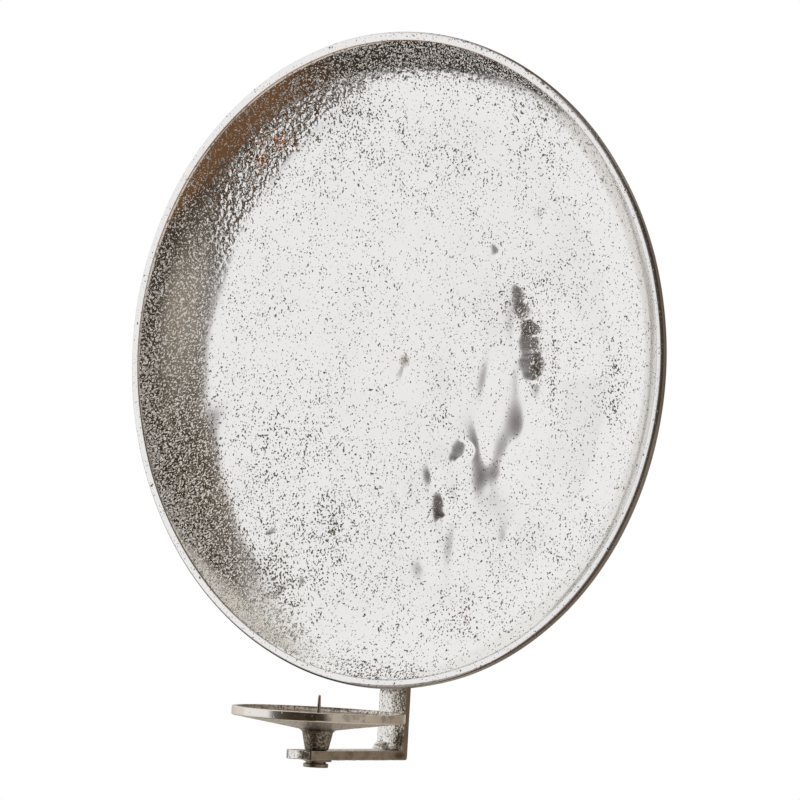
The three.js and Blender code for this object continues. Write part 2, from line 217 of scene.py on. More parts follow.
# What changes round the dish, as sums of bells: direction from the dish's centre in degrees
# from +X, half width in degrees, and height. The first is how many millimetres the cove's
# foot reaches in beyond its usual place.
FOOT_BULGES = (
    (163, 9, 9),
    (183, 6, 3),
    (199, 7, 7),
    (211, 3, -3),
    (229, 11, -11),
    (138, 7, 3),
)
TOP_SKIN = ((84, 28, 1.0), (55, 14, 0.9))
ROUGH_SKIN = ((178, 24, 0.95), (216, 24, 1.1), (133, 24, 1.1), (240, 12, 0.8), *TOP_SKIN)
SMOOTH_BAND = ((133, 20, 1.0),)
SMOOTH_SIDE = ((172, 13, 1.0),)
CRUMPLED = ((131, 13, 1.0), (150, 8, 0.1), (80, 24, 0.15))
MATTE = ((174, 12, 1.0), (216, 24, 0.1))
# Painted shade low in the cove at the lower left
COVE_SHADE_PLACES = ((205, 22, 1.0),)
FLECKED = ((178, 40, 1.0), (216, 24, 1.0), (133, 24, 0.5), *TOP_SKIN)
FOOT_PITS = ((216, 24, 1.0),)
EDGE_PITS = ((60, 22, 0.7), (290, 20, 0.3))
FULL_ROUND = ((-20, 42, 1.6),)
EDGE_LINE = ((240, 20, 1.4), (62, 18, 1.0))
EDGE_LINE_DEEPER = ((250, 14, 0.15),)
# Painted shadow in the step inside the rim, at the lower left
STEP_SHADOW = ((214, 20, 1.3),)
BROWN_STEP = ((118, 36, 1.5),)

# Radii between which parts of the dish's finish come and go
CRUMPLE_FADES = (170, 186)
SMOOTH_BAND_STARTS = (174, 184)
SMOOTH_SIDE_RADII = (158, 166, 180, 192)
MATTE_RADII = (150, 172, 178, 190)
COVE_SHADE_FADES = (184, 192)
STEEP_STARTS = (163, 188)
RIM_FACE_STARTS = (196, 198)
BEHIND_RIM_STARTS = (190, 198)

# Where the rough skin starts: direction from the dish's centre in degrees, and radius
SKIN_FOOT = (
    (50, 177),
    (68, 174),
    (90, 168),
    (105, 166),
    (113, 164),
    (122, 157),
    (140, 151),
    (165, 146),
    (205, 147),
    (216, 151),
    (226, 160),
    (236, 167),
    (246, 170),
    (256, 178),
    (280, 186),
)

# Bracket, in millimetres
BAR_WIDTH = bracket_high[0] - bracket_low[0]
UPRIGHT_THICKNESS = 5.0
ARM_THICKNESS = 6.0
HEEL_ROUND = 1.5
INNER_FILLET = 4.5
TOP_ROUND = 4.0
ARM_END_ROUND = 2.0
BAR_EDGE_ROUND = 0.55
BAR_CROWN_LEFT = 0.35
BAR_CROWN_RIGHT = 1.4
LUMP_LENGTH = 9.0
LUMP_HEIGHT = 2.6
SCREW_CLEARANCE = 0.3
SCREW_SINK = 2.4
CAP_RINGS = (0.97, 0.9, 0.8, 0.66, 0.5, 0.32, 0.15)

# Candle plate, in millimetres above the arm
PLATE_RADIUS = (plate_high[0] - plate_low[0]) / 2
PLATE_HEIGHT = plate_high[2] - plate_low[2]
PLATE_AXIS_Y = (plate_high[1] + plate_low[1]) / 2
BAND_HEIGHT = 4.7
BAND_FOOT_ROUND = 0.8
LIP_WIDTH = 3.0
LIP_ROUND = 0.5
LIP_RUN = 2.0
CONE_DEGREES = 8.9
PLATE_WALL = 3.6
SEAT_RADIUS = 16.0
STEM_FOOT_RADIUS = 7.2
STEM_FOOT_EDGE = 0.4
STEM_NECK_RADIUS = 9.1
STEM_FLARE_RADIUS = 13.0
STEM_FLARE_HEIGHT = 3.2
SAND_RADIUS = 24.0
SPIKE_TIP = 0.75

# Pad and bosses on the dish's back, in millimetres
FLAT_BACK_Y = RIM_Y + DISH_DEPTH
BLOCK_FILLET = 1.0
BLOCK_EDGE = 0.5
PAD_MARGIN = 3.0
PAD_EDGE_INSET = 10.0
PAD_CORNER = 6.0
BOSS_RADIUS = 6.5

# Screws, in millimetres: shank and head diameters, and the recess's length, width, depth and
# the run of its walls
PLATE_SCREW_HEAD = 15.2
PLATE_SCREW_SHANK = 6.0
PLATE_SCREW_HEAD_HEIGHT = 2.5
PLATE_SCREW_EDGE = 0.6
PLATE_SCREW_RECESS = (7.0, 1.1, 1.6, 0.35)
M5_SCREW = (5.0, 9.6, (5.0, 0.9, 1.5, 0.3))
M4_SCREW = (4.0, 7.8, (4.2, 0.9, 1.5, 0.3))
COUNTERSUNK_EDGE = 0.12
SHANK_END = 0.5

# Washers, in millimetres: hole and edge, and for the split one the angle of its gap in
# radians and how far its ends stand apart
FLAT_WASHER = (8.6, 0.2)
SPLIT_WASHER = (6.6, 0.12, 0.18, 0.1)

# The photograph's view, through a very long lens and a little tilted. In millimetres, the
# rim's centre lies VIEW_RIGHT to the right of the picture's middle and VIEW_UP above it.
VIEW_AZIMUTH = math.radians(35.91)
VIEW_ELEVATION = math.radians(-0.08)
VIEW_ROLL = math.radians(3.24)
VIEW_DISTANCE = 4879.52
VIEW_RIGHT = -5.29
VIEW_UP = 24.31
SENSOR_WIDTH = 36.0
FOCAL_PIXELS = 8031.0
PHOTO_WIDTH = 800.0


# Camera


def photo_camera():
    """A camera that looks at the rim's centre from the photograph's side, level and rolled."""
    sin_a, cos_a = math.sin(VIEW_AZIMUTH), math.cos(VIEW_AZIMUTH)
    sin_e, cos_e = math.sin(VIEW_ELEVATION), math.cos(VIEW_ELEVATION)
    level_right = Vector((cos_a, sin_a, 0))
    level_up = Vector((-sin_a * sin_e, cos_a * sin_e, cos_e))
    forward = Vector((-sin_a * cos_e, cos_a * cos_e, -sin_e))
    right = math.cos(VIEW_ROLL) * level_right + math.sin(VIEW_ROLL) * level_up
    up = math.cos(VIEW_ROLL) * level_up - math.sin(VIEW_ROLL) * level_right
    rim_centre = Vector((0, RIM_Y, DISH_CENTRE_Z))
    place = rim_centre - VIEW_RIGHT * right - VIEW_UP * up - VIEW_DISTANCE * forward

    data = bpy.data.cameras.new("photo_camera")
    data.sensor_width = SENSOR_WIDTH
    data.lens = SENSOR_WIDTH * FOCAL_PIXELS / PHOTO_WIDTH
    data.clip_end = 100
    camera = bpy.data.objects.new("photo_camera", data)
    turn = Matrix((right, up, -forward)).transposed().to_4x4()
    camera.matrix_world = Matrix.Translation(place * MM) @ turn
    bpy.context.scene.collection.objects.link(camera)
    bpy.context.scene.camera = camera
    bpy.context.scene.view_settings.view_transform = "Standard"


# Node trees


class Field:
    """A number, colour or place that nodes work out at each point, with plain arithmetic."""

    def __init__(self, tree, socket):
        self.tree = tree
        self.socket = socket

    def __add__(self, other):
        return calculate(self.tree, "ADD", self, other)

    def __mul__(self, other):
        return calculate(self.tree, "MULTIPLY", self, other)

    def __sub__(self, other):
        return calculate(self.tree, "SUBTRACT", self, other)

    def __rsub__(self, other):
        return calculate(self.tree, "SUBTRACT", other, self)

    __radd__ = __add__
    __rmul__ = __mul__

    def at_least(self, other):
        return calculate(self.tree, "MAXIMUM", self, other)

    def at_most(self, other):
        return calculate(self.tree, "MINIMUM", self, other)

    def clipped(self):
        """Kept between 0 and 1."""
        return calculate(self.tree, "ADD", self, 0.0, clamp=True)


def connect(tree, socket, value):
    """Links a field to a socket, or sets the socket to a number, a colour or three numbers."""
    if isinstance(value, Field):
        tree.links.new(value.socket, socket)
    elif socket.type == "RGBA":
        socket.default_value = (*value, 1)
    else:
        socket.default_value = value


def set_inputs(tree, node, **inputs):
    """Sets or links inputs of a node by name, with _ for a space."""
    for name, value in inputs.items():
        connect(tree, node.inputs[name.replace("_", " ")], value)


def add_node(tree, kind, settings=None, **inputs):
    """A node of a kind, with its settings and inputs."""
    node = tree.nodes.new(kind)
    for name, value in (settings or {}).items():
        setattr(node, name, value)
    set_inputs(tree, node, **inputs)
    return node


def add_field(tree, kind, output, settings=None, **inputs):
    """What a new node gives at one of its outputs."""
    return Field(tree, add_node(tree, kind, settings, **inputs).outputs[output])


def calculate(tree, operation, first, second=0.0, clamp=False):
    """What a Math node makes of two numbers or fields."""
    node = add_node(tree, "ShaderNodeMath", {"operation": operation, "use_clamp": clamp})
    connect(tree, node.inputs[0], first)
    connect(tree, node.inputs[1], second)
    return Field(tree, node.outputs[0])


def rise(value, start, end, low=0.0, high=1.0):
    """Goes smoothly from low to high as a field goes from start to end."""
    bounds = {"From_Min": start, "From_Max": end, "To_Min": low, "To_Max": high}
    smooth = {"interpolation_type": "SMOOTHSTEP"}
    return add_field(value.tree, "ShaderNodeMapRange", "Result", smooth, Value=value, **bounds)


def fall(value, start, end):
    """Goes smoothly from 1 to 0 as a field goes from start to end."""
    return rise(value, start, end, 1.0, 0.0)


def within(value, start, full, fade, end):
    """1 while a field is between full and fade, and 0 before the start and past the end."""
    return rise(value, start, full) * fall(value, fade, end)


# The sockets of a Mix node that blends colours
MIX_FACTOR, MIX_FIRST, MIX_SECOND, MIX_RESULT = 0, 6, 7, 2


def blend(cover, under, over):
    """One colour laid over another, where the cover is 1."""
    node = add_node(cover.tree, "ShaderNodeMix", {"data_type": "RGBA"})
    for socket, value in ((MIX_FACTOR, cover), (MIX_FIRST, under), (MIX_SECOND, over)):
        connect(cover.tree, node.inputs[socket], value)
    return Field(cover.tree, node.outputs[MIX_RESULT])


def colour_ramp(value, stops):
    """The colour for a field, from stops of value and colour in rising order."""
    first, last = stops[0][0], stops[-1][0]
    tree = value.tree
    share = add_field(
        tree, "ShaderNodeMapRange", "Result", Value=value, From_Min=first, From_Max=last
    )
    ramp = add_node(tree, "ShaderNodeValToRGB", Fac=share)
    elements = ramp.color_ramp.elements
    while len(elements) < len(stops):
        elements.new(0.5)
    for element, (at, colour) in zip(elements, stops):
        element.position = (at - first) / (last - first)
        element.color = (*colour, 1)
    return Field(tree, ramp.outputs["Color"])


def coordinates(place):
    """The x, y and z of a place or direction."""
    outputs = add_node(place.tree, "ShaderNodeSeparateXYZ", Vector=place).outputs
    return [Field(place.tree, outputs[axis]) for axis in "XYZ"]


def seen_directly(tree):
    """1 for the camera's own rays and for those that have passed through glass."""
    rays = add_node(tree, "ShaderNodeLightPath").outputs
    return Field(tree, rays["Is Camera Ray"]).at_least(Field(tree, rays["Is Transmission Ray"]))


# Studio


# The colours of the studio as the metal shows them
WHITE = (1.0, 1.0, 1.0)
PALE_SIDE = (0.52, 0.465, 0.395)
BROWN_SIDE = (0.34, 0.285, 0.225)
DARK_FRONT = (0.056, 0.042, 0.030)
OVERHEAD = (0.66, 0.61, 0.54)
DARK_FLOOR = (0.040, 0.031, 0.024)
WARM_FLOOR = (0.165, 0.082, 0.038)
PALE_FLOOR = (0.70, 0.665, 0.615)
HIGH_BEHIND = (0.95, 0.92, 0.87)
PALE_UPPER_LEFT = (0.95, 0.94, 0.92)

# Its sides round the horizon: azimuth in degrees and colour. Azimuth 0 is straight in front
# of the dish, and it grows to the viewer's right.
HORIZON = (
    (-180, BROWN_SIDE),
    (-160, PALE_SIDE),
    (-126, (0.64, 0.61, 0.57)),
    (-104, (0.80, 0.775, 0.75)),
    (-82, (0.86, 0.84, 0.82)),
    (-81, WHITE),
    (-34, WHITE),
    (-31.5, (0.47, 0.45, 0.45)),
    (-25, (0.15, 0.138, 0.135)),
    (-14, (0.085, 0.070, 0.054)),
    (-2, DARK_FRONT),
    (42, DARK_FRONT),
    (50, PALE_SIDE),
    (90, PALE_SIDE),
    (140, (0.40, 0.34, 0.275)),
    (180, BROWN_SIDE),
)

# Its zones, in degrees. Four numbers say where one starts, is full, fades and ends,
# and two between which values one side of it comes or goes. The azimuth is the bearing, less
# a lean that grows above and below the horizon.
AZIMUTH_LEAN = 0.45
AZIMUTH_LEAN_REACH = (-16.0, 40.0)
WHITE_SIDE = (-82, -81, -34.5, -34)
UPPER_LEFT = (-150, -130, -82, -81)
UPPER_LEFT_HEIGHT = (2, 14)
OVERHEAD_LEFT_END = (-39, -28)
OVERHEAD_RIGHT_END = (60, 75)
OVERHEAD_HEIGHT = (39, 51)
LOW_FRONT = (-106, -97, 28, 40)
LOW_FRONT_HEIGHT = (-31, -26)
LOW_FRONT_WARMTH = (-42, -14)
LOW_FRONT_TILT = 0.24
LOW_FRONT_TILT_REACH = (-11.0, 30.0)
LOW_FRONT_SIDE = 75.0
LOW_FRONT_SIDE_TILT = 0.5
UNDERNEATH_HEIGHT = (-64, -57)
LOW_RIGHT = (30, 36)
LOW_RIGHT_HEIGHT = (-16, -8)
BEHIND_HEIGHT = (14, 32)

# How far back a direction points where the studio turns pale high up behind, from 0 to 1
BEHIND_DEPTH = (0.35, 0.6)


def studio_world():
    """White all round for the camera. Metal shows a white left side, a dark front where the
    camera stands, a brown floor low down in front, a pale floor straight below and low on
    the right, and paler walls to the right, behind and overhead."""
    world = bpy.data.worlds.new("studio")
    bpy.context.scene.world = world
    world.use_nodes = True
    tree = world.node_tree
    tree.nodes.clear()
    x, y, z = coordinates(add_field(tree, "ShaderNodeTexCoord", "Generated"))
    bearing = calculate(tree, "DEGREES", calculate(tree, "ARCTAN2", x, y * -1.0))
    elevation = calculate(tree, "DEGREES", calculate(tree, "ARCSINE", z))
    lowest, highest = AZIMUTH_LEAN_REACH
    height = calculate(tree, "ABSOLUTE", elevation.at_least(lowest).at_most(highest))
    azimuth = bearing - AZIMUTH_LEAN * height

    colour = colour_ramp(azimuth, HORIZON)
    upper_left = within(azimuth, *UPPER_LEFT) * rise(elevation, *UPPER_LEFT_HEIGHT)
    colour = blend(upper_left, colour, PALE_UPPER_LEFT)
    ahead = rise(bearing, *OVERHEAD_LEFT_END) * fall(azimuth, *OVERHEAD_RIGHT_END)
    above = ahead * rise(elevation, *OVERHEAD_HEIGHT)
    colour = blend(above, colour, OVERHEAD)

    nearest, farthest = LOW_FRONT_TILT_REACH
    along = bearing.at_least(nearest).at_most(farthest) - nearest
    sideways = (bearing * -1.0 - LOW_FRONT_SIDE).at_least(0.0)
    lowered = elevation - LOW_FRONT_TILT * along - LOW_FRONT_SIDE_TILT * sideways
    below = within(azimuth, *LOW_FRONT) * fall(lowered, *LOW_FRONT_HEIGHT)
    low_colour = blend(rise(azimuth, *LOW_FRONT_WARMTH), DARK_FLOOR, WARM_FLOOR)
    colour = blend(below, colour, low_colour)
    low_right = rise(bearing, *LOW_RIGHT) * fall(elevation, *LOW_RIGHT_HEIGHT)
    underneath = fall(elevation, *UNDERNEATH_HEIGHT).at_least(low_right)
    colour = blend(underneath, colour, PALE_FLOOR)
    behind = rise(y, *BEHIND_DEPTH) * rise(elevation, *BEHIND_HEIGHT)
    colour = blend(behind, colour, HIGH_BEHIND)

    lit_side = within(azimuth, *WHITE_SIDE) * (1.0 - below.at_least(above))
    mirrored = add_field(tree, "ShaderNodeLightPath", "Is Glossy Ray") * lit_side
    colour = blend(mirrored.at_least(seen_directly(tree)), colour, WHITE)
    background = add_field(tree, "ShaderNodeBackground", 0, Color=colour, Strength=1.0)
    add_node(tree, "ShaderNodeOutputWorld", Surface=background)


# The floor, in millimetres below the bracket, and the key light, in degrees
FLOOR_DROP = 260.0
FLOOR_RADIUS = 3000.0
FLOOR_COLOUR = (0.75, 0.75, 0.75)
FLOOR_GLOW = 0.62
KEY_STRENGTH = 1.0
KEY_ANGLE = 50.0
KEY_AZIMUTH = -50.0
KEY_ELEVATION = 50.0


def studio_floor():
    """A pale round floor under the object. It is white to the camera but for the shadow."""
    bpy.ops.mesh.primitive_circle_add(
        vertices=96,
        radius=FLOOR_RADIUS * MM,
        fill_type="NGON",
        location=(0, 0, (bracket_low[2] - FLOOR_DROP) * MM),
    )
    floor = bpy.context.object
    floor.name = "studio_floor"
    floor.visible_glossy = False
    floor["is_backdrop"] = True
    material, tree, shader = new_finish("pale_floor")
    glow = seen_directly(tree) * FLOOR_GLOW
    set_inputs(tree, shader, Base_Color=FLOOR_COLOUR, Roughness=0.9)
    set_inputs(tree, shader, Emission_Color=WHITE, Emission_Strength=glow)
    floor.data.materials.append(material)


def studio_key():
    """A broad soft light from the upper left, which gives the floor its shadow."""
    data = bpy.data.lights.new("studio_key", "SUN")
    data.energy = KEY_STRENGTH
    data.angle = math.radians(KEY_ANGLE)
    key = bpy.data.objects.new("studio_key", data)
    azimuth, elevation = math.radians(KEY_AZIMUTH), math.radians(KEY_ELEVATION)
    towards = Vector((
        math.sin(azimuth) * math.cos(elevation),
        -math.cos(azimuth) * math.cos(elevation),
        math.sin(elevation),
    ))
    key.rotation_euler = towards.to_track_quat("Z", "Y").to_euler()
    key.visible_glossy = False
    bpy.context.scene.collection.objects.link(key)


# Meshes from grids of points


SHARP_ANGLE = math.radians(50)

# Smooth noise: how many heights its lattice has each way, and its shift in cells
LATTICE = 128
LATTICE_SHIFT = 40


def surface(name, grid, along=False, start=None, end=None, features=None):
    """A closed mesh from rows of points, each row a ring that closes on itself.

    Each cell between neighbouring rows and columns is a quad. A start or end point closes
    the first or last ring with a fan, and along joins the last ring to the first. Features
    are named values for each point of the grid, kept as point attributes.
    """
    rows, columns = grid.shape[:2]
    index = np.arange(rows * columns).reshape(rows, columns)
    ring = np.hstack([index, index[:, :1]])
    if along:
        ring = np.vstack([ring, ring[:1]])
    quads = np.stack([ring[:-1, :-1], ring[:-1, 1:], ring[1:, 1:], ring[1:, :-1]], -1)
    quads = quads.reshape(-1, 4)
    points = grid.reshape(-1, 3)
    fans = []
    for pole, row, order in ((start, ring[0], (0, 2, 1)), (end, ring[-1], (0, 1, 2))):
        if pole is not None:
            tip = np.full(columns, len(points))
            fans.append(np.stack([tip, row[:-1], row[1:]], -1)[:, list(order)])
            points = np.vstack([points, np.asarray(pole, float)])
    triangles = np.vstack(fans) if fans else np.empty((0, 3), int)

    split = np.vstack([quads[:, :3], quads[:, [0, 2, 3]], triangles])
    first, second, third = (points[split[:, k]] for k in range(3))
    if np.einsum("ij,ij->", first, np.cross(second, third)) < 0:
        quads, triangles = quads[:, ::-1], triangles[:, ::-1]

    mesh = bpy.data.meshes.new(name)
    mesh.vertices.add(len(points))
    mesh.vertices.foreach_set("co", (points * MM).astype(np.float32).ravel())
    mesh.loops.add(quads.size + triangles.size)
    mesh.loops.foreach_set("vertex_index", np.concatenate([quads.ravel(), triangles.ravel()]))
    mesh.polygons.add(len(quads) + len(triangles))
    starts = np.concatenate([
        np.arange(len(quads)) * 4,
        quads.size + np.arange(len(triangles)) * 3,
    ])
    mesh.polygons.foreach_set("loop_start", starts)
    mesh.update(calc_edges=True)
    mesh.validate()
    for feature, values in (features or {}).items():
        values = np.asarray(values, np.float32).ravel()
        values = np.concatenate([values, np.full(len(points) - len(values), values[-1])])
        mesh.attributes.new(feature, "FLOAT", "POINT").data.foreach_set("value", values)
    mesh.shade_smooth()
    mesh.set_sharp_from_angle(angle=SHARP_ANGLE)
    piece = bpy.data.objects.new(name, mesh)
    bpy.context.scene.collection.objects.link(piece)
    return piece


def settle(piece, body, slot, material, *nodes):
    """Gives a piece its finish, the body that carries it and the nodes that it stands for."""
    piece.data.materials.append(material)
    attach(piece, body)
    if nodes:
        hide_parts(*nodes)


def smooth_noise(x, y, cell, seed):
    """Random heights from -1 to 1 on a lattice, blended smoothly across each cell."""
    heights = np.random.default_rng(seed).uniform(-1, 1, (LATTICE, LATTICE))
    x, y = np.broadcast_arrays(x / cell + LATTICE_SHIFT, y / cell + LATTICE_SHIFT)
    column, row = np.floor(x).astype(int), np.floor(y).astype(int)
    fx, fy = x - column, y - row
    fx, fy = fx * fx * (3 - 2 * fx), fy * fy * (3 - 2 * fy)
    column, row = column % (LATTICE - 1), row % (LATTICE - 1)
    near = heights[row, column] * (1 - fx) + heights[row, column + 1] * fx
    far = heights[row + 1, column] * (1 - fx) + heights[row + 1, column + 1] * fx
    return near * (1 - fy) + far * fy


def ring_noise(angle, cells, seed):
    """Smooth random values from -1 to 1 round a circle, the same after a whole turn."""
    reach = cells / (2 * math.pi)
    return smooth_noise(reach * np.cos(angle), reach * np.sin(angle), 1.0, seed)


def smooth_step(value, start, end):
    """Goes smoothly from 0 to 1 as a value goes from start to end."""
    t = np.clip((value - start) / (end - start), 0, 1)
    return t * t * (3 - 2 * t)


def blob(x, z, centre_x, centre_z, across, along, lean=0.0):
    """1 at a centre, falling off as a bell whose axes lean from upright by an angle."""
    angle = math.radians(lean)
    dx, dz = x - centre_x, z - centre_z
    side = (dx * math.cos(angle) + dz * math.sin(angle)) / across
    length = (dz * math.cos(angle) - dx * math.sin(angle)) / along
    return np.exp(-(side * side + length * length) / 2)


def arc_points(centre, radii, start, end, steps):
    """Points of an arc of a profile between two angles in degrees."""
    angles = np.radians(np.linspace(start, end, steps + 1))
    across, up = radii if isinstance(radii, tuple) else (radii, radii)
    return np.stack([centre[0] + across * np.cos(angles), centre[1] + up * np.sin(angles)], -1)


def line_points(start, end, steps):
    """Evenly spaced points from one point of a profile to another, without the first."""
    share = np.arange(1, steps + 1)[:, None] / steps
    return np.asarray(start, float) * (1 - share) + np.asarray(end, float) * share


# Dish


# The zones of its profile: the inside, the step inside the rim, the rim's ground face, its
# outer round and the back
ZONES = INSIDE, STEP, GROUND, OUTER, BEHIND = range(5)


def cove_drop(share):
    """How far the cove has dropped a share of the way in: 0 at the rim and 1 at its foot."""
    return 1 - (1 - np.clip(share, 0, 1)) ** COVE_FULLNESS


def dish_profile():
    """Radius and depth from the front's centre out over the rim and back to the centre.

    Also gives an array for each zone, which holds 1 for the points that belong to it and 0
    for the others.
    """
    inner = RIM_INNER_RADIUS
    foot = DISH_FLAT_RADIUS - FOOT_REACH
    middle = line_points((0, DISH_INNER_DEPTH), (COARSE_RADIUS, DISH_INNER_DEPTH), 10)
    floor = line_points(middle[-1], (foot, DISH_INNER_DEPTH), 54)
    cove = line_points(floor[-1], (inner - RIM_STEP_WIDTH, RIM_STEP_DEPTH), 56)
    edge = arc_points((inner + RIM_STEP_ROUND, RIM_STEP_ROUND), RIM_STEP_ROUND, 180, 270, 3)
    face_end = (DISH_RADIUS - RIM_OUTER_ROUND, 0)
    face = line_points(edge[-1], face_end, 5)
    outer = arc_points((face_end[0], RIM_OUTER_ROUND), RIM_OUTER_ROUND, -90, 0, 10)[1:]
    share = np.linspace(0, 1, 21)[1:]
    back = np.stack([
        DISH_RADIUS + (DISH_FLAT_RADIUS - DISH_RADIUS) * share,
        RIM_OUTER_ROUND + (DISH_DEPTH - RIM_OUTER_ROUND) * cove_drop(share),
    ], -1)
    flat = line_points((DISH_FLAT_RADIUS, DISH_DEPTH), (0, DISH_DEPTH), 8)[:-1]
    parts = (middle, floor, cove, edge, face, outer, back, flat)
    zone_of_part = (INSIDE, INSIDE, INSIDE, STEP, GROUND, OUTER, BEHIND, BEHIND)
    zone = np.repeat(zone_of_part, [len(part) for part in parts])[:, None]
    return np.vstack(parts), [(zone == kind).astype(float) for kind in ZONES]


def dish_relief(x, z):
    """How far the front sinks at a point: bell-shaped dents, each placed by its left flank,
    hard-edged dents, and broad low waves, which are stronger at the lower right."""
    relief = 0
    for flank_x, flank_z, across, along, lean, depth in DENTS:
        centre_x = flank_x + across * math.cos(math.radians(lean))
        centre_z = flank_z + across * math.sin(math.radians(lean))
        dent = blob(x, z, centre_x, centre_z, abs(across), along, lean)
        relief = relief + math.copysign(depth, across) * dent
    for centre_x, centre_z, *shape in FACETS:
        relief = relief + facet(x - centre_x, z - centre_z, *shape)
    uneven = 0.05 + 0.5 * blob(x, z, *WAVES)
    waves = 0.5 * smooth_noise(x, z, 44, seed=3) + 0.2 * smooth_noise(x, z, 19, seed=4)
    return relief + uneven * waves


def facet(x, z, across, along, lean, slope, back):
    """How far a hard-edged dent sinks. Its outline is an oval with flat sides and uneven edges.
    At each height it sinks evenly from left to right, then comes back up over a distance that
    grows shorter towards both ends, as a half oval."""
    half = across * np.sqrt(np.clip(1 - (z / along) ** 4, 0, 1))
    ragged, uneven = (smooth_noise(0 * z, z + 20 * across, 3.6, seed) for seed in (7, 8))
    beyond = x + z * math.tan(math.radians(lean)) + half
    width = np.maximum(2 * half * (1 + FACET_UNEVEN * uneven), 1e-6)
    share = np.clip((beyond + FACET_RAGGED * across * ragged) / width, 0, 1)
    sunk = 2 * half * math.tan(math.radians(slope)) * share
    back_start = FACET_BACK_START * half
    back_end = back_start + back * np.clip(1 - (z / along) ** 2, 0.02, 1)
    return sunk * (1 - smooth_step(beyond, back_start, back_end))


def dish_pitting(x, z):
    """How pitted the front is at a point, from 0 to 1: patches, over a faint uneven cover."""
    patches = sum(much * blob(x, z, *place) for *place, much in PITTED)
    wander = 0.14 * smooth_noise(x, z, 26, seed=5) + 0.12 * smooth_noise(x, z, 11, seed=6)
    return np.clip(0.14 + patches + wander, 0, 1)


def cove_width(angle):
    """How wide the cove is in each direction: its foot wanders, and bulges in at places."""
    wander = 1.6 * ring_noise(angle, 9, seed=13) + 1.0 * ring_noise(angle, 34, seed=14)
    return COVE_WIDTH + wander + bells(angle, FOOT_BULGES)


def bells(angle, places):
    """A sum of bells round the dish, given their directions and half widths in degrees and
    their heights."""
    total = 0
    for direction, half, height in places:
        off = (np.degrees(angle) - direction + 180) % 360 - 180
        total = total + height * np.exp(-(off / half) ** 2 / 2)
    return total


def bells_to_one(angle, places):
    """The same sum, kept between 0 and 1."""
    return np.clip(bells(angle, places), 0, 1)


def ring_band(radius, start, full, fade, end):
    """1 while the radius is between full and fade, 0 before the start and past the end."""
    return smooth_step(radius, start, full) * (1 - smooth_step(radius, fade, end))


def cast_dish():
    """The profile turned about the dish's axis, with the cove's drop worked out anew for the
    width that the cove has in each direction.

    The front sinks by the relief, which fades out up the cove. The rim's outer round is full
    on the right and flatter elsewhere, where more was ground off. Its inner and outer edges
    wander by a fraction of a millimetre, as on a casting that was ground by hand.
    """
    profile, zones = dish_profile()
    inside, step, _, outer, behind = zones
    angle = np.linspace(0, 2 * math.pi, DISH_COLUMNS, endpoint=False)[None, :]
    radius = np.repeat(profile[:, :1], DISH_COLUMNS, 1)
    depth = np.repeat(profile[:, 1:], DISH_COLUMNS, 1)
    share = (RIM_INNER_RADIUS - RIM_STEP_WIDTH - radius) / (cove_width(angle) - RIM_STEP_WIDTH)
    drop = RIM_STEP_DEPTH + (DISH_INNER_DEPTH - RIM_STEP_DEPTH) * cove_drop(share)
    x, z = radius * np.cos(angle), radius * np.sin(angle)
    fade = smooth_step(RIM_INNER_RADIUS - radius, *RELIEF_FADE)
    depth = np.where(inside > 0, drop + fade * dish_relief(x, z), depth)

    past_rim = np.clip((depth - RIM_OUTER_ROUND) / (DISH_DEPTH - RIM_OUTER_ROUND), 0, 1)
    flatter = np.minimum(depth, RIM_OUTER_ROUND) * (1 - past_rim) * (outer + behind)
    depth = depth - GROUND_OFF * (1 - bells_to_one(angle, FULL_ROUND)) * flatter

    edge = smooth_step(radius, RIM_INNER_RADIUS - EDGE_WANDER_REACH, RIM_INNER_RADIUS)
    inwards = INNER_EDGE_WANDER * ring_noise(angle, 26, seed=11)
    outwards = OUTER_EDGE_WANDER * (1 + ring_noise(angle, 34, seed=12))
    radius = radius + (inside + step) * edge * inwards - (outer + behind) * edge * outwards
    x, z = radius * np.cos(angle), radius * np.sin(angle)
    grid = np.stack([x, RIM_Y + depth, DISH_CENTRE_Z + z], -1)
    start = (0, grid[0, :, 1].mean(), DISH_CENTRE_Z)
    end = (0, RIM_Y + DISH_DEPTH, DISH_CENTRE_Z)
    features = dish_features(angle, radius, depth, zones)
    return surface("cast_dish", grid, start=start, end=end, features=features)


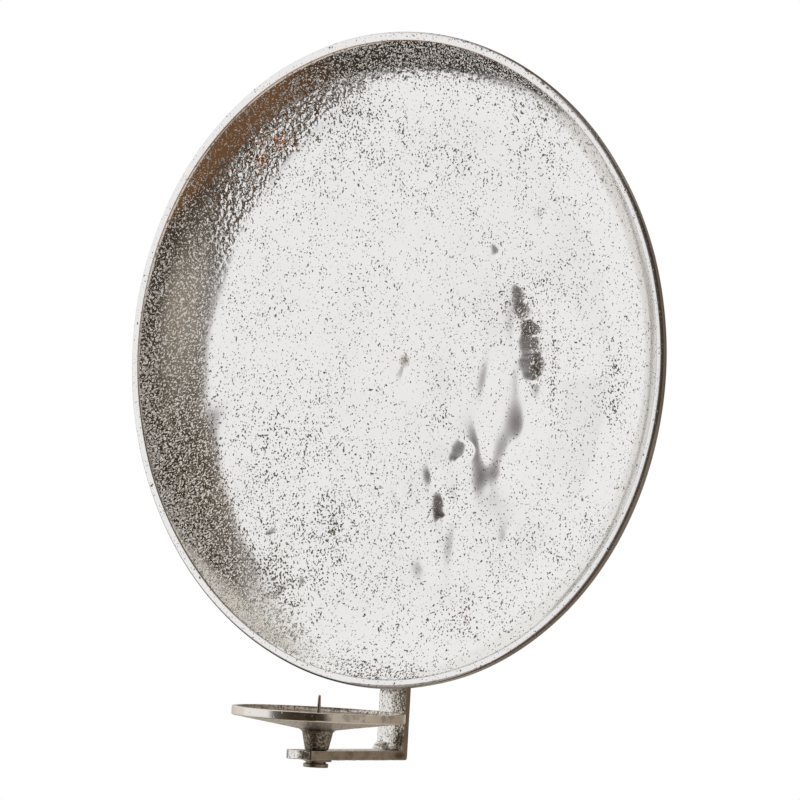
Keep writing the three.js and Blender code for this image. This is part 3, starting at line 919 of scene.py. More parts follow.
def dish_features(angle, radius, depth, zones):
    """What the dish's finish reads at each point, mostly from 0 to 1. The skin on the cove
    starts at its own radius in each direction, and so do the flecks, the crumpled part and
    the painted shade at the lower left that lie on it."""
    inside, step, ground, outer, behind = zones
    x, z = radius * np.cos(angle), radius * np.sin(angle)
    directions, feet = zip(*SKIN_FOOT)
    foot = np.interp(np.degrees(angle), directions, feet)
    scar = 0.85 * np.clip(sum(blob(x, z, *place) for place in SCARS), 0, 1) * inside

    crumple = ring_band(radius, foot, foot + 6, *CRUMPLE_FADES) * inside
    crumple = crumple * bells_to_one(angle, CRUMPLED)
    smooth_band = smooth_step(radius, *SMOOTH_BAND_STARTS) * bells(angle, SMOOTH_BAND)
    smooth_side = ring_band(radius, *SMOOTH_SIDE_RADII) * bells(angle, SMOOTH_SIDE)
    skin_side = smooth_step(radius, foot, foot + 9) * inside
    skin = skin_side * bells_to_one(angle, ROUGH_SKIN)
    skin = skin * (1 - 0.35 * smooth_band) * (1 - 0.1 * smooth_side) * (1 - 0.6 * crumple)
    skin = np.maximum(skin, scar)

    first_fleck = foot + 2 + 5 * bells_to_one(angle, TOP_SKIN)
    flecks = smooth_step(radius, first_fleck, first_fleck + 7) * bells_to_one(angle, FLECKED)
    flecks = flecks * inside * (1 - 0.88 * smooth_band) * (1 - np.clip(1.8 * crumple, 0, 1))
    cove = smooth_step(radius, DISH_FLAT_RADIUS - 6, DISH_FLAT_RADIUS + 10) * inside
    matte = cove * ring_band(radius, *MATTE_RADII) * bells_to_one(angle, MATTE)
    # Painted shade near the rim at the lower left
    cove_shade = ring_band(radius, foot + 2, foot + 13, *COVE_SHADE_FADES) * inside
    cove_shade = cove_shade * bells(angle, COVE_SHADE_PLACES)

    foot_pits = 0.6 * bells(angle, FOOT_PITS) * skin_side
    edge_pits = 0.02 + bells(angle, EDGE_PITS)
    pitting = inside * np.clip(dish_pitting(x, z) + 0.25 * skin + foot_pits, 0, 1)
    pitting = pitting + ground * 0.5 * edge_pits * smooth_step(radius, *RIM_FACE_STARTS)
    pitting = pitting + outer * edge_pits + behind * 0.8
    return {
        "pitting": pitting,
        "flecks": np.maximum(flecks, 0.8 * scar),
        "skin": skin + behind,
        "crumple": crumple,
        "steep": smooth_step(radius, *STEEP_STARTS),
        "matte": matte + 0.7 * behind,
        "cove_shade": cove_shade,
        "step": step * bells_to_one(angle, BROWN_STEP),
        "rind_and_step_shadow": rim_rind_and_step_shadow(angle, radius, depth, zones),
        "behind": behind + 0 * x,
        "copper": sum(blob(x, z, *place) for place in COPPER_FLECKS) * inside,
    }


def rim_rind_and_step_shadow(angle, radius, depth, zones):
    """How dark the rim is: all of its outer round where that is full, a line at the foot of
    the round at the upper right and lower left, and painted shadow in the step at the lower left."""
    _, step, _, outer, behind = zones
    full = bells_to_one(angle, FULL_ROUND)
    behind_rim = behind * smooth_step(radius, *BEHIND_RIM_STARTS)
    rind_and_step_shadow = (outer * smooth_step(depth, 0.05, 0.4) + behind_rim) * full
    line = outer * smooth_step(depth + bells(angle, EDGE_LINE_DEEPER), 0.2, 0.4) + behind_rim
    rind_and_step_shadow = rind_and_step_shadow + 1.2 * line * (1 - full) * bells_to_one(angle, EDGE_LINE)
    return rind_and_step_shadow + 1.2 * step * bells_to_one(angle, STEP_SHADOW)


# Turned pieces


# How many columns of points go round each kind of piece
PLATE_COLUMNS = 288
SPIKE_COLUMNS = 64
WASHER_COLUMNS = 160
PLATE_SCREW_COLUMNS = 144
SCREW_COLUMNS = 96
BOSS_COLUMNS = 96


def turned(name, profile, columns, centre, features=None, relief=None):
    """A profile of radius and height turned about an upright axis.

    The first and last points of the profile lie on the axis and become poles. Relief gives,
    for the radius, height and angle of each point, how far it moves out and up.
    """
    profile = np.asarray(profile, float)
    angle = np.linspace(0, 2 * math.pi, columns, endpoint=False)[None, :]
    inside = profile[1:-1]
    radius = np.repeat(inside[:, :1], columns, 1)
    height = np.repeat(inside[:, 1:], columns, 1)
    if relief is not None:
        out, up = relief(radius, height, angle)
        radius, height = radius + out, height + up
    grid = np.stack([
        centre[0] + radius * np.cos(angle),
        centre[1] + radius * np.sin(angle),
        centre[2] + height,
    ], -1)
    poles = [(centre[0], centre[1], centre[2] + profile[k, 1]) for k in (0, -1)]
    values = {
        feature: np.repeat(value[1:-1, None], columns, 1)
        for feature, value in (features or {}).items()
    }
    return surface(name, grid, start=poles[0], end=poles[1], features=values)


def plate_underside(radius):
    """The height above the arm of the plate's conical underside at a radius."""
    cone_top = PLATE_HEIGHT - BAND_HEIGHT - BAND_FOOT_ROUND
    cone_radius = PLATE_RADIUS - BAND_FOOT_ROUND
    return cone_top - math.tan(math.radians(CONE_DEGREES)) * (cone_radius - radius)


PLATE_FLOOR = plate_underside(SEAT_RADIUS) + PLATE_WALL


def cast_plate():
    """The plate and its stem in one: a slightly tapered stem that flares into a shallow cone,
    a band round the edge, a level lip and a dished inside, turned about the plate's axis."""
    cone_radius = PLATE_RADIUS - BAND_FOOT_ROUND
    band_foot = PLATE_HEIGHT - BAND_HEIGHT
    neck = plate_underside(STEM_FLARE_RADIUS) - STEM_FLARE_HEIGHT
    lip_inner = PLATE_RADIUS - LIP_WIDTH
    floor_edge = lip_inner - LIP_RUN
    lip_drop = PLATE_HEIGHT - plate_underside(floor_edge) - PLATE_WALL
    flare_radii = (STEM_FLARE_RADIUS - STEM_NECK_RADIUS, STEM_FLARE_HEIGHT)
    flare = arc_points((STEM_FLARE_RADIUS, neck), flare_radii, 180, 90, 10)
    foot_middle = (STEM_FOOT_RADIUS - STEM_FOOT_EDGE, STEM_FOOT_EDGE)
    foot = arc_points(foot_middle, STEM_FOOT_EDGE, -90, 0, 4)
    cone_end = (cone_radius, plate_underside(cone_radius))
    band_round = arc_points((cone_radius, band_foot), BAND_FOOT_ROUND, -90, 0, 6)
    top_middle = (PLATE_RADIUS - LIP_ROUND, PLATE_HEIGHT - LIP_ROUND)
    top_round = arc_points(top_middle, LIP_ROUND, 0, 90, 6)
    inside = arc_points((floor_edge, PLATE_HEIGHT), (LIP_RUN, lip_drop), 0, -90, 8)
    parts = {
        "pole": np.array([[0, 0]]),
        "bottom": line_points((0, 0), foot[0], 4)[:-1],
        "foot": foot,
        "stem": line_points(foot[-1], flare[0], 14)[:-1],
        "flare": flare,
        "cone": line_points(flare[-1], cone_end, 34)[:-1],
        "band foot": band_round,
        "band": line_points(band_round[-1], top_round[0], 10)[:-1],
        "band top": top_round,
        "lip": line_points(top_round[-1], inside[0], 4)[:-1],
        "inside": inside,
        "floor": line_points(inside[-1], (SEAT_RADIUS, PLATE_FLOOR), 26),
        "seat": line_points((SEAT_RADIUS, PLATE_FLOOR), (0, PLATE_FLOOR), 12),
    }
    profile = np.vstack(list(parts.values()))
    part = np.repeat(list(parts), [len(points) for points in parts.values()])
    polished = np.isin(part, ("band", "band top")).astype(float)
    sandy = 1 - np.isin(part, ("band foot", "band", "band top", "lip")).astype(float)

    def sand(radius, height, angle):
        """Grains of 1.3 and 3.4 mm on the cast faces, none on the machined band, whose lower
        edge waves a little."""
        turn, reach = angle * SAND_RADIUS, radius + 2 * height
        fine = 0.05 * smooth_noise(turn, reach, 1.3, seed=21)
        coarse = 0.06 * smooth_noise(turn, reach, 3.4, seed=22)
        wave = 0.12 * ring_noise(angle, 5, seed=23) * (part[1:-1, None] == "band foot")
        rough = (fine + coarse) * sandy[1:-1, None]
        return 0 * radius, (rough + wave) * smooth_step(radius, 1, 6)

    centre = (0, PLATE_AXIS_Y, plate_low[2])
    features = {"polished": polished, "sandy": sandy}
    return turned("cast_plate", profile, PLATE_COLUMNS, centre, features, sand)


def steel_spike():
    """A long cone with a small round tip, turned about the plate's axis, slightly uneven."""
    foot = (spike_high[0] - spike_low[0]) / 2
    height = spike_high[2] - spike_low[2]
    depth = plate_low[2] + PLATE_FLOOR - spike_low[2]
    round_tip = arc_points((0, height - SPIKE_TIP), SPIKE_TIP, 0, 90, 6)
    parts = (
        np.array([[0, 0]]),
        line_points((0, 0), (foot, 0), 3),
        line_points((foot, 0), (foot, depth), 4),
        line_points((foot, depth), round_tip[0], 40),
        round_tip[1:],
    )

    def file_marks(radius, height, angle):
        """Four faint flats that wind up the cone, and fine unevenness."""
        flats = 0.05 * np.cos(4 * angle + 0.15 * height) * smooth_step(height, depth, depth + 3)
        marks = 0.02 * smooth_noise(angle * 2, height, 1.1, seed=31)
        return (flats + marks) * smooth_step(radius, 0.2, 0.8), 0

    centre = (0, PLATE_AXIS_Y, spike_low[2])
    return turned("steel_spike", np.vstack(parts), SPIKE_COLUMNS, centre, relief=file_marks)


def flat_washer(name, low, high, hole, edge, gap=0.0, lift=0.0):
    """A rounded rectangle of a section carried round a circle. A gap leaves a split ring,
    whose ends stand apart by the lift."""
    outer, inner = (high[0] - low[0]) / 2, hole / 2
    thickness = high[2] - low[2] - lift
    centre = ((high[0] + low[0]) / 2, (high[1] + low[1]) / 2, low[2])
    sx, sy, ox, oy = rounded_section(7, 3, 4)
    across = inner + edge + (sx + 1) / 2 * (outer - inner - 2 * edge) + edge * ox
    up = edge + sy * (thickness - 2 * edge) + edge * oy
    ends = (gap / 2, 2 * math.pi - gap / 2)
    turn = np.linspace(*ends, WASHER_COLUMNS, endpoint=gap > 0)[:, None]
    rise_up = lift * turn / (2 * math.pi)
    grid = np.stack([
        centre[0] + across * np.cos(turn),
        centre[1] + across * np.sin(turn),
        centre[2] + up + rise_up,
    ], -1)
    if gap == 0:
        return surface(name, grid, along=True)
    return surface(name, grid, start=grid[0].mean(0), end=grid[-1].mean(0))


def rounded_section(flat_steps, side_steps, corner_steps):
    """A rounded rectangle as shares: x from -1 to 1, depth from 0 to 1, and the outward
    direction of each point. It runs along the near side, round, and back along the far one."""
    corner = np.radians(np.linspace(0, 90, corner_steps + 1))
    flat = np.linspace(-1, 1, flat_steps + 1)[1:-1]
    side = np.linspace(0, 1, side_steps + 1)[1:-1]
    sx, sy, ox, oy = [], [], [], []

    def extend(xs, ys, nx, ny):
        """Adds a stretch of points, whose fixed values are single numbers."""
        for values, more in zip((sx, sy, ox, oy), np.broadcast_arrays(xs, ys, nx, ny)):
            values.append(np.atleast_1d(more))

    extend(flat, 0.0, 0.0, -1.0)
    extend(1.0, 0.0, np.sin(corner), -np.cos(corner))
    extend(1.0, side, 1.0, 0.0)
    extend(1.0, 1.0, np.cos(corner), np.sin(corner))
    extend(-flat, 1.0, 0.0, 1.0)
    extend(-1.0, 1.0, -np.sin(corner), np.cos(corner))
    extend(-1.0, 1 - side, -1.0, 0.0)
    extend(-1.0, 0.0, -np.cos(corner), -np.sin(corner))
    return (np.concatenate(values) for values in (sx, sy, ox, oy))


# Screws


def cross_slot(x, y, length, width, depth, wall):
    """How deep a cross-shaped recess is at a point: full depth inside its two arms, with
    walls that slope over a short way."""

    def arm(along, across):
        """1 inside one arm, falling to 0 over the slope of its walls."""
        inside = smooth_step(length / 2 + wall - np.abs(along), 0, wall)
        return inside * smooth_step(width / 2 + wall - np.abs(across), 0, wall)

    return depth * np.maximum(arm(x, y), arm(y, x))


def screw_rings(parts, columns, recess):
    """The rings of a screw about its axis, and its two poles. The parts of its profile run
    from the centre of its head, so the first part takes the cross recess."""
    profile = np.vstack(parts)
    angle = np.linspace(0, 2 * math.pi, columns, endpoint=False)[None, :]
    radius, height = profile[1:-1, :1], np.repeat(profile[1:-1, 1:], columns, 1)
    x, y = radius * np.cos(angle), radius * np.sin(angle)
    on_head = np.arange(len(profile) - 2)[:, None] < len(parts[0]) - 1
    height = height - np.where(on_head, cross_slot(x, y, *recess), 0)
    return x, y, height, profile[0, 1] - recess[2], profile[-1, 1]


def plate_screw():
    """A flat round head with its recess below, and a plain shank up into the plate."""
    head, shank, edge = PLATE_SCREW_HEAD / 2, PLATE_SCREW_SHANK / 2, PLATE_SCREW_EDGE
    height, head_height = screw_high[2] - screw_low[2], PLATE_SCREW_HEAD_HEIGHT
    bottom = arc_points((head - edge, edge), edge, -90, 0, 6)
    top = arc_points((head - edge, head_height - edge), edge, 0, 90, 6)
    upwards = (
        np.vstack([[[0, 0]], line_points((0, 0), bottom[0], 34)]),
        bottom[1:],
        top,
        line_points(top[-1], (shank, head_height), 3),
        line_points((shank, head_height), (shank, height), 6),
        np.array([[0, height]]),
    )
    parts = [part * (1, -1) for part in upwards]
    x, y, drop, start, end = screw_rings(parts, PLATE_SCREW_COLUMNS, PLATE_SCREW_RECESS)
    grid = np.stack([x, PLATE_AXIS_Y + y, screw_low[2] - drop], -1)
    poles = [(0, PLATE_AXIS_Y, screw_low[2] - value) for value in (start, end)]
    return surface("flat_head_screw", grid, start=poles[0], end=poles[1])


def countersunk_screw(name, node, diameter, head, recess):
    """A countersunk screw along the wall's normal, its flat head towards the wall."""
    low, high = corners(node)
    length = high[1] - low[1]
    shank, radius, edge = diameter / 2, head / 2, COUNTERSUNK_EDGE
    parts = (
        np.vstack([[[0, 0]], line_points((0, 0), (radius - edge, 0), 30)]),
        line_points((radius - edge, 0), (radius, -edge), 1),
        line_points((radius, -edge), (shank, shank - radius), 5),
        line_points((shank, shank - radius), (shank, SHANK_END - length), 4),
        line_points((shank, SHANK_END - length), (shank - SHANK_END, -length), 1),
        np.array([[0, -length]]),
    )
    x, z, height, start, end = screw_rings(parts, SCREW_COLUMNS, recess)
    middle = ((low[0] + high[0]) / 2, high[1], (low[2] + high[2]) / 2)
    grid = np.stack([middle[0] + x, middle[1] + height, middle[2] + z], -1)
    poles = [(middle[0], middle[1] + value, middle[2]) for value in (start, end)]
    return surface(name, grid, start=poles[0], end=poles[1])


# Bracket


def bracket_lines():
    """The bracket's outer and inner lines in y and z, matched point for point.

    Both run down the upright, round the corner and out along the arm: the outer one round
    the heel, and the inner one round the inside fillet. Points lie closer at both ends. Also
    gives the distance from each end, and where each point lies along the corner, from 0 to
    1, or -1 elsewhere.
    """
    top, bottom, end = bracket_high[2], bracket_low[2], bracket_low[1]
    arm_top = bottom + ARM_THICKNESS
    quarter = np.radians(np.linspace(0, 90, 13))
    evenly = np.linspace(0, 1, 190)[1:]
    upright = np.concatenate([0.05 * (1 - np.cos(quarter)), 0.05 + 0.95 * evenly])[:, None]
    arm = np.concatenate([0.96 * evenly, 0.96 + 0.04 * np.sin(quarter)[1:]])[:, None]
    turn = np.radians(np.linspace(0, -90, 27)[1:-1])[:, None]
    circle = np.hstack([np.cos(turn), np.sin(turn)])

    def run(first, last, shares):
        """Points at their shares of the way between two points."""
        return np.array(first) * (1 - shares) + np.array(last) * shares

    heel = np.array([-HEEL_ROUND, bottom + HEEL_ROUND])
    fillet = np.array([-UPRIGHT_THICKNESS - INNER_FILLET, arm_top + INNER_FILLET])
    outer = np.vstack([
        run((0, top), (0, heel[1]), upright),
        heel + HEEL_ROUND * circle,
        run((heel[0], bottom), (end, bottom), arm),
    ])
    inner = np.vstack([
        run((-UPRIGHT_THICKNESS, top), (-UPRIGHT_THICKNESS, fillet[1]), upright),
        fillet + INNER_FILLET * circle,
        run((fillet[0], arm_top), (end, arm_top), arm),
    ])
    corner = np.full(len(outer), -1.0)
    corner[len(upright) - 1:len(upright) + len(turn) + 1] = np.linspace(0, 1, len(turn) + 2)
    from_top, from_end = top - inner[:, 1], inner[:, 0] - end
    return outer, inner, from_top, from_end, corner


def inset_at(distance, radius):
    """How far a round of that radius has drawn a side in, at a distance from the end."""
    short = np.clip(radius - distance, 0, radius)
    return radius - np.sqrt(radius * radius - short * short)


def cast_bracket():
    """A rounded rectangular section carried along the bracket's two lines.

    The width draws in by a quarter circle at both ends. The broad faces carry coarse grains
    and the sides stay ground flat. The front and the arm's top fall off towards the edges. A
    lump fills the left end of the inside corner, and two countersinks are sunk in the back.
    """
    outer, inner, from_top, from_end, corner = bracket_lines()
    sx, sy, ox, oy = rounded_section(36, 12, 4)
    between = inner - outer
    thickness = np.linalg.norm(between, axis=1)
    inwards = between / thickness[:, None]
    half = BAR_WIDTH / 2 - inset_at(from_top, TOP_ROUND) - inset_at(from_end, ARM_END_ROUND)
    shave = inset_at(from_top, BAR_EDGE_ROUND) + inset_at(from_end, BAR_EDGE_ROUND)
    edge = BAR_EDGE_ROUND
    x = (half - edge)[:, None] * sx + edge * ox
    depth = edge + shave[:, None] + (thickness - 2 * (edge + shave))[:, None] * sy + edge * oy
    y = outer[:, :1] + inwards[:, :1] * depth
    z = outer[:, 1:] + inwards[:, 1:] * depth

    along = y - z
    rough = smooth_step(np.abs(oy), 0.4, 0.95)[None, :] + 0 * x
    grain = 0.09 * smooth_noise(x, along, 1.7, seed=41) + 0.1 * smooth_noise(x, along, 4.2, seed=42)
    wave = 0.05 * smooth_noise(x, along, 14, seed=43)
    fall_off = np.where(x > 0, BAR_CROWN_RIGHT, BAR_CROWN_LEFT)
    crown = fall_off * (2 * x / BAR_WIDTH) ** 2 * (oy > 0.4)
    lumpy = np.sin(math.pi * np.clip(corner, 0, 1)) ** 0.7 * (corner >= 0)
    reach = np.sqrt(np.clip(1 - ((x + BAR_WIDTH / 2) / LUMP_LENGTH) ** 2, 0, 1))
    lump = LUMP_HEIGHT * lumpy[:, None] * reach * (oy > 0.7)
    out = rough * (grain - 0.1) + wave * (1 - rough) * 0.3
    raised = oy * out + lump - crown
    y, z = y + inwards[:, :1] * raised, z + inwards[:, 1:] * raised
    x = x + ox * (out - 0.05 * np.abs(ox))

    is_back = (oy < -0.5) & (outer[:, 1:] > bracket_low[2] + 10)
    for node in ("bracket_screw_lower", "bracket_screw_upper"):
        low, high = corners(node)
        middle, head = (low[2] + high[2]) / 2, (high[0] - low[0]) / 2
        sink = np.clip(head + SCREW_CLEARANCE - np.hypot(x, z - middle), 0, SCREW_SINK)
        y = y - np.where(is_back, sink, 0)
    y = np.minimum(y, 0)

    grid = np.stack([x, y, z], -1)
    first, last = grid[0].mean(0), grid[-1].mean(0)
    shrink = np.array(CAP_RINGS)[:, None, None]
    start_cap = (first + (grid[0] - first) * shrink)[::-1]
    end_cap = last + (grid[-1] - last) * shrink
    bumps = 0.12 * smooth_noise(end_cap[..., 0], end_cap[..., 2], 1.9, seed=44)
    end_cap[..., 1] += np.abs(bumps) * 0.8
    grid = np.concatenate([start_cap, grid, end_cap])
    features = bracket_features(grid, along, rough, ox, oy)
    return surface("cast_bracket", grid, start=first, end=last, features=features)


def bracket_features(grid, along, rough, ox, oy):
    """What the bracket's finish reads at each point, from 0 to 1, the caps of its two ends
    included: rough faces, a dark patch at the heel, painted shade in a small hole and on the
    right half of the arm's end, painted shade on the right side and just under the dish, a
    painted highlight on the front edges, and the upright."""
    caps = len(CAP_RINGS)
    x, y, z = np.moveaxis(grid[caps:-caps], -1, 0)
    all_x, all_z = grid[..., 0], grid[..., 2]
    end_x, end_z = all_x[-caps:], all_z[-caps:]
    bare = np.zeros((caps, grid.shape[1]))

    above_foot = z - bracket_low[2]
    heel = 1.2 * np.exp(-((y + 8) / 6.5) ** 2 - ((above_foot - 3) / 2.6) ** 2)
    # Painted shadow of a small hole in the front, which the mesh doesn't have
    hole = 1.4 * blob(x, above_foot, 7.0, 12, 1.9, 3.4, -15) * (oy > 0.4)
    # Painted shade on the right half of the arm's end
    end_shade = smooth_step(end_x + 1.5 * smooth_noise(end_x, end_z, 2, seed=48), -1, 2)
    # Painted shade: darker on the right of the faces and ends, and just under the dish
    shaded = smooth_step(all_x + 2 * smooth_noise(all_x, all_z, 4, seed=47), -4, 6)
    right_side_shade = smooth_step(x + 3 * smooth_noise(x, along, 6, seed=45), -3, 8)
    dish_shadow = smooth_step(z, dish_low[2] - 5, dish_low[2] + 1)
    shaded[caps:-caps] = np.maximum(right_side_shade, dish_shadow)
    # Painted highlight along the rounds of the front and the arm's top
    uneven = 0.6 + 0.4 * smooth_noise(x, along, 5, seed=46)
    edge_highlight = 4 * np.abs(ox * oy) * (oy > 0) * uneven
    return {
        "rough": np.concatenate([bare + 1, rough, bare + 1]),
        "dark_patch_and_shade": np.concatenate([bare, np.clip(np.maximum(heel, hole), 0, 1), end_shade]),
        "shaded": shaded,
        "edge": np.concatenate([bare, edge_highlight, bare]),
        "upright": smooth_step(all_z, bracket_low[2] + 5, bracket_low[2] + 14),
    }


# Pad and bosses on the dish's back


def rectangle_outline(width, height, corner):
    """The middle of each corner's round of a rounded rectangle, and its outward directions."""
    sx, sy, ox, oz = rounded_section(24, 24, 12)
    return (width / 2 - corner) * sx, (height / 2 - corner) * (2 * sy - 1), ox, oz


def circle_outline(columns):
    """A circle's middle, once for each of its points, and its outward directions."""
    angle = np.linspace(0, 2 * math.pi, columns, endpoint=False)
    return 0 * angle, 0 * angle, np.cos(angle), np.sin(angle)


def back_block(name, centre_z, outline, corner, end):
    """An outline carried back from the dish's flat back to a level, wider at its foot by a
    fillet, with its far edge rounded. The corner is the radius that the outline is drawn at."""
    x0, z0, ox, oz = outline
    foot = np.radians(np.linspace(0, 90, 9))[:, None]
    edge = np.radians(np.linspace(0, 90, 5))[:, None]
    reach = np.vstack([
        [[BLOCK_FILLET]],
        BLOCK_FILLET * (1 - np.sin(foot)),
        BLOCK_EDGE * (np.cos(edge) - 1),
    ])
    y = np.vstack([
        [[FLAT_BACK_Y - BLOCK_FILLET]],
        FLAT_BACK_Y + BLOCK_FILLET * (1 - np.cos(foot)),
        end - BLOCK_EDGE * (1 - np.sin(edge)),
    ])
    x = x0 + (corner + reach) * ox
    z = centre_z + z0 + (corner + reach) * oz
    rings = np.stack([x, np.broadcast_to(y, x.shape), z], -1)
    middle = np.array([0, end, centre_z])
    cap = middle + (rings[-1] - middle) * np.array([0.93, 0.75, 0.5, 0.25])[:, None, None]
    base = (0, y[0, 0], centre_z)
    return surface(name, np.concatenate([rings, cap]), start=base, end=middle)


# Finishes


def new_finish(name):
    """An empty node material, its tree and its one shader."""
    material = bpy.data.materials.new(name)
    material.use_nodes = True
    tree = material.node_tree
    tree.nodes.clear()
    shader = add_node(tree, "ShaderNodeBsdfPrincipled")
    add_node(tree, "ShaderNodeOutputMaterial", Surface=Field(tree, shader.outputs[0]))
    return material, tree, shader


def millimetres(tree):
    """The place on the piece, in millimetres."""
    scaled = add_node(tree, "ShaderNodeVectorMath", {"operation": "SCALE"}, Scale=1 / MM)
    connect(tree, scaled.inputs[0], add_field(tree, "ShaderNodeTexCoord", "Object"))
    return Field(tree, scaled.outputs[0])


def noise(place, size, detail=2.0, roughness=0.5):
    """Soft noise from 0 to 1 whose largest patches are about a size wide."""
    inputs = {"Scale": 1 / size, "Detail": detail, "Roughness": roughness}
    return add_field(place.tree, "ShaderNodeTexNoise", 0, Vector=place, **inputs)


def attribute(tree, name):
    """A value that the mesh holds for each of its points."""
    return add_field(tree, "ShaderNodeAttribute", "Fac", {"attribute_name": name})


def raise_surface(tree, shader, height):
    """Bump from a height in millimetres."""
    bump = add_field(tree, "ShaderNodeBump", 0, Height=height, Distance=MM, Strength=1.0)
    set_inputs(tree, shader, Normal=bump)


DISH_METAL = (0.828, 0.822, 0.812)
PIT_BROWN = (0.15, 0.105, 0.07)
EDGE_BROWN = (0.66, 0.33, 0.14)
# The rim's dark rind, and painted shadow in its step at the lower left
RIND_AND_SHADOW_BROWN = (0.125, 0.09, 0.062)
BACK_SKIN = (0.46, 0.43, 0.39)
COPPER = (0.80, 0.40, 0.25)
MATTE_SKIN = (0.78, 0.70, 0.58)
# Painted shade laid low in the cove at the lower left
COVE_SHADE_COLOUR = (0.38, 0.32, 0.25)
FLECK = (1.0, 0.985, 0.96)
FLECK_SIZE = 0.98
FLECK_LEAN = math.radians(40)
FLECK_STRETCH = 1.4

# How quickly the share of a hollow that counts as inside it grows from its edge
HOLLOW_EDGE = 22.0


def ground_over(place, size, share, depth):
    """The height in millimetres of a rough cast skin that was ground flat until a share of
    its hollows was left, and how far inside a hollow a point is, from 0 to 1."""
    hollow = (share - noise(place, size, detail=1.4)).at_least(0.0)
    return hollow * -depth, (hollow * HOLLOW_EDGE).clipped()


def lay_over(colour, *layers):
    """A colour with others laid over it in turn, each with the field that is its cover."""
    for cover, over in layers:
        colour = blend(cover, colour, over)
    return colour


def dish_finish():
    """Bright cast metal, ground over. Hollows are left where the casting is porous and all
    over the cove, and dirt fills them but for the steep part of the cove. Over the metal lie
    a matte skin, painted shade low in the cove at the lower left, pale flecks, brown in the
    step inside the rim, copper flecks, the rim's dark rind with painted shadow in its step
    at the lower left, and the dull skin of the back."""
    material, tree, shader = new_finish("dish_casting")
    place = millimetres(tree)
    pitting, skin, steep = (attribute(tree, name) for name in ("pitting", "skin", "steep"))

    patchy = 0.14 * noise(place, size=8.0)
    fine, in_fine = ground_over(place, 1.3, 0.13 * pitting + patchy + 0.26, depth=2.4)
    coarse, in_coarse = ground_over(place, 3.0, 0.09 * pitting + patchy + 0.20, depth=4.0)
    rough, in_rough = ground_over(place, 2.1, 0.15 * skin + 0.5 * patchy + 0.20, depth=2.6)
    rough = rough * rise(steep, 0.0, 1.0, 1.0, 2.6)
    grains = noise(place, size=3.4, detail=1.6)
    crumple = (grains - 0.5) * attribute(tree, "crumple") * 3.6
    raise_surface(tree, shader, fine + coarse + rough + crumple)

    clean = skin * rise(steep, 0.0, 0.5)
    dirt = in_fine.at_least(in_coarse) * (0.85 - 0.7 * clean)
    foot_dirt = in_rough * skin * rise(steep, 0.3, 0.9, 0.75, 0.15)
    matte = attribute(tree, "matte") * (1.0 - 2.0 * in_rough).clipped()
    rind_and_step_shadow = attribute(tree, "rind_and_step_shadow")
    fleck = pale_flecks(place, attribute(tree, "flecks"))
    colour = lay_over(
        DISH_METAL,
        (dirt.at_least(foot_dirt), PIT_BROWN),
        (0.9 * matte, MATTE_SKIN),
        (0.85 * attribute(tree, "cove_shade"), COVE_SHADE_COLOUR),
        (fleck, FLECK),
        (0.8 * attribute(tree, "step"), EDGE_BROWN),
        (attribute(tree, "copper") * rise(grains, 0.50, 0.56), COPPER),
        (0.85 * rind_and_step_shadow, RIND_AND_SHADOW_BROWN),
        (attribute(tree, "behind"), BACK_SKIN),
    )
    metallic = ((1.0 - 0.3 * matte - 0.2 * rind_and_step_shadow) * (1.0 - fleck)).clipped()
    clouds = rise(noise(place, size=30.0), 0.35, 0.7, 0.0, 0.03)
    roughness = 0.10 + clouds + 0.42 * matte + 0.4 * fleck
    set_inputs(tree, shader, Base_Color=colour, Metallic=metallic, Roughness=roughness)
    return material


def pale_flecks(place, spread):
    """Slanted flecks: the peaks of a noise that is stretched along a leaning line."""
    tree = place.tree
    turn, stretch = (0, FLECK_LEAN, 0), (1, 1, FLECK_STRETCH)
    slanted = add_field(
        tree, "ShaderNodeMapping", 0, {"vector_type": "TEXTURE"},
        Vector=place, Rotation=turn, Scale=stretch,
    )
    amount = noise(slanted, FLECK_SIZE, detail=0.6) + 0.12 * spread
    return rise(amount, 0.678, 0.70) * rise(spread, 0.0, 0.5)


BRACKET_METAL = (0.82, 0.80, 0.77)
# The ground sides' colour, also used as painted shade on the rough faces
GROUND_SIDE_AND_SHADE = (0.42, 0.365, 0.30)
# Dirt in hollows and stains, and painted shade
BRACKET_DIRT_AND_SHADE = (0.10, 0.075, 0.05)
# Painted highlight on the front edges
EDGE_HIGHLIGHT = (0.86, 0.83, 0.78)


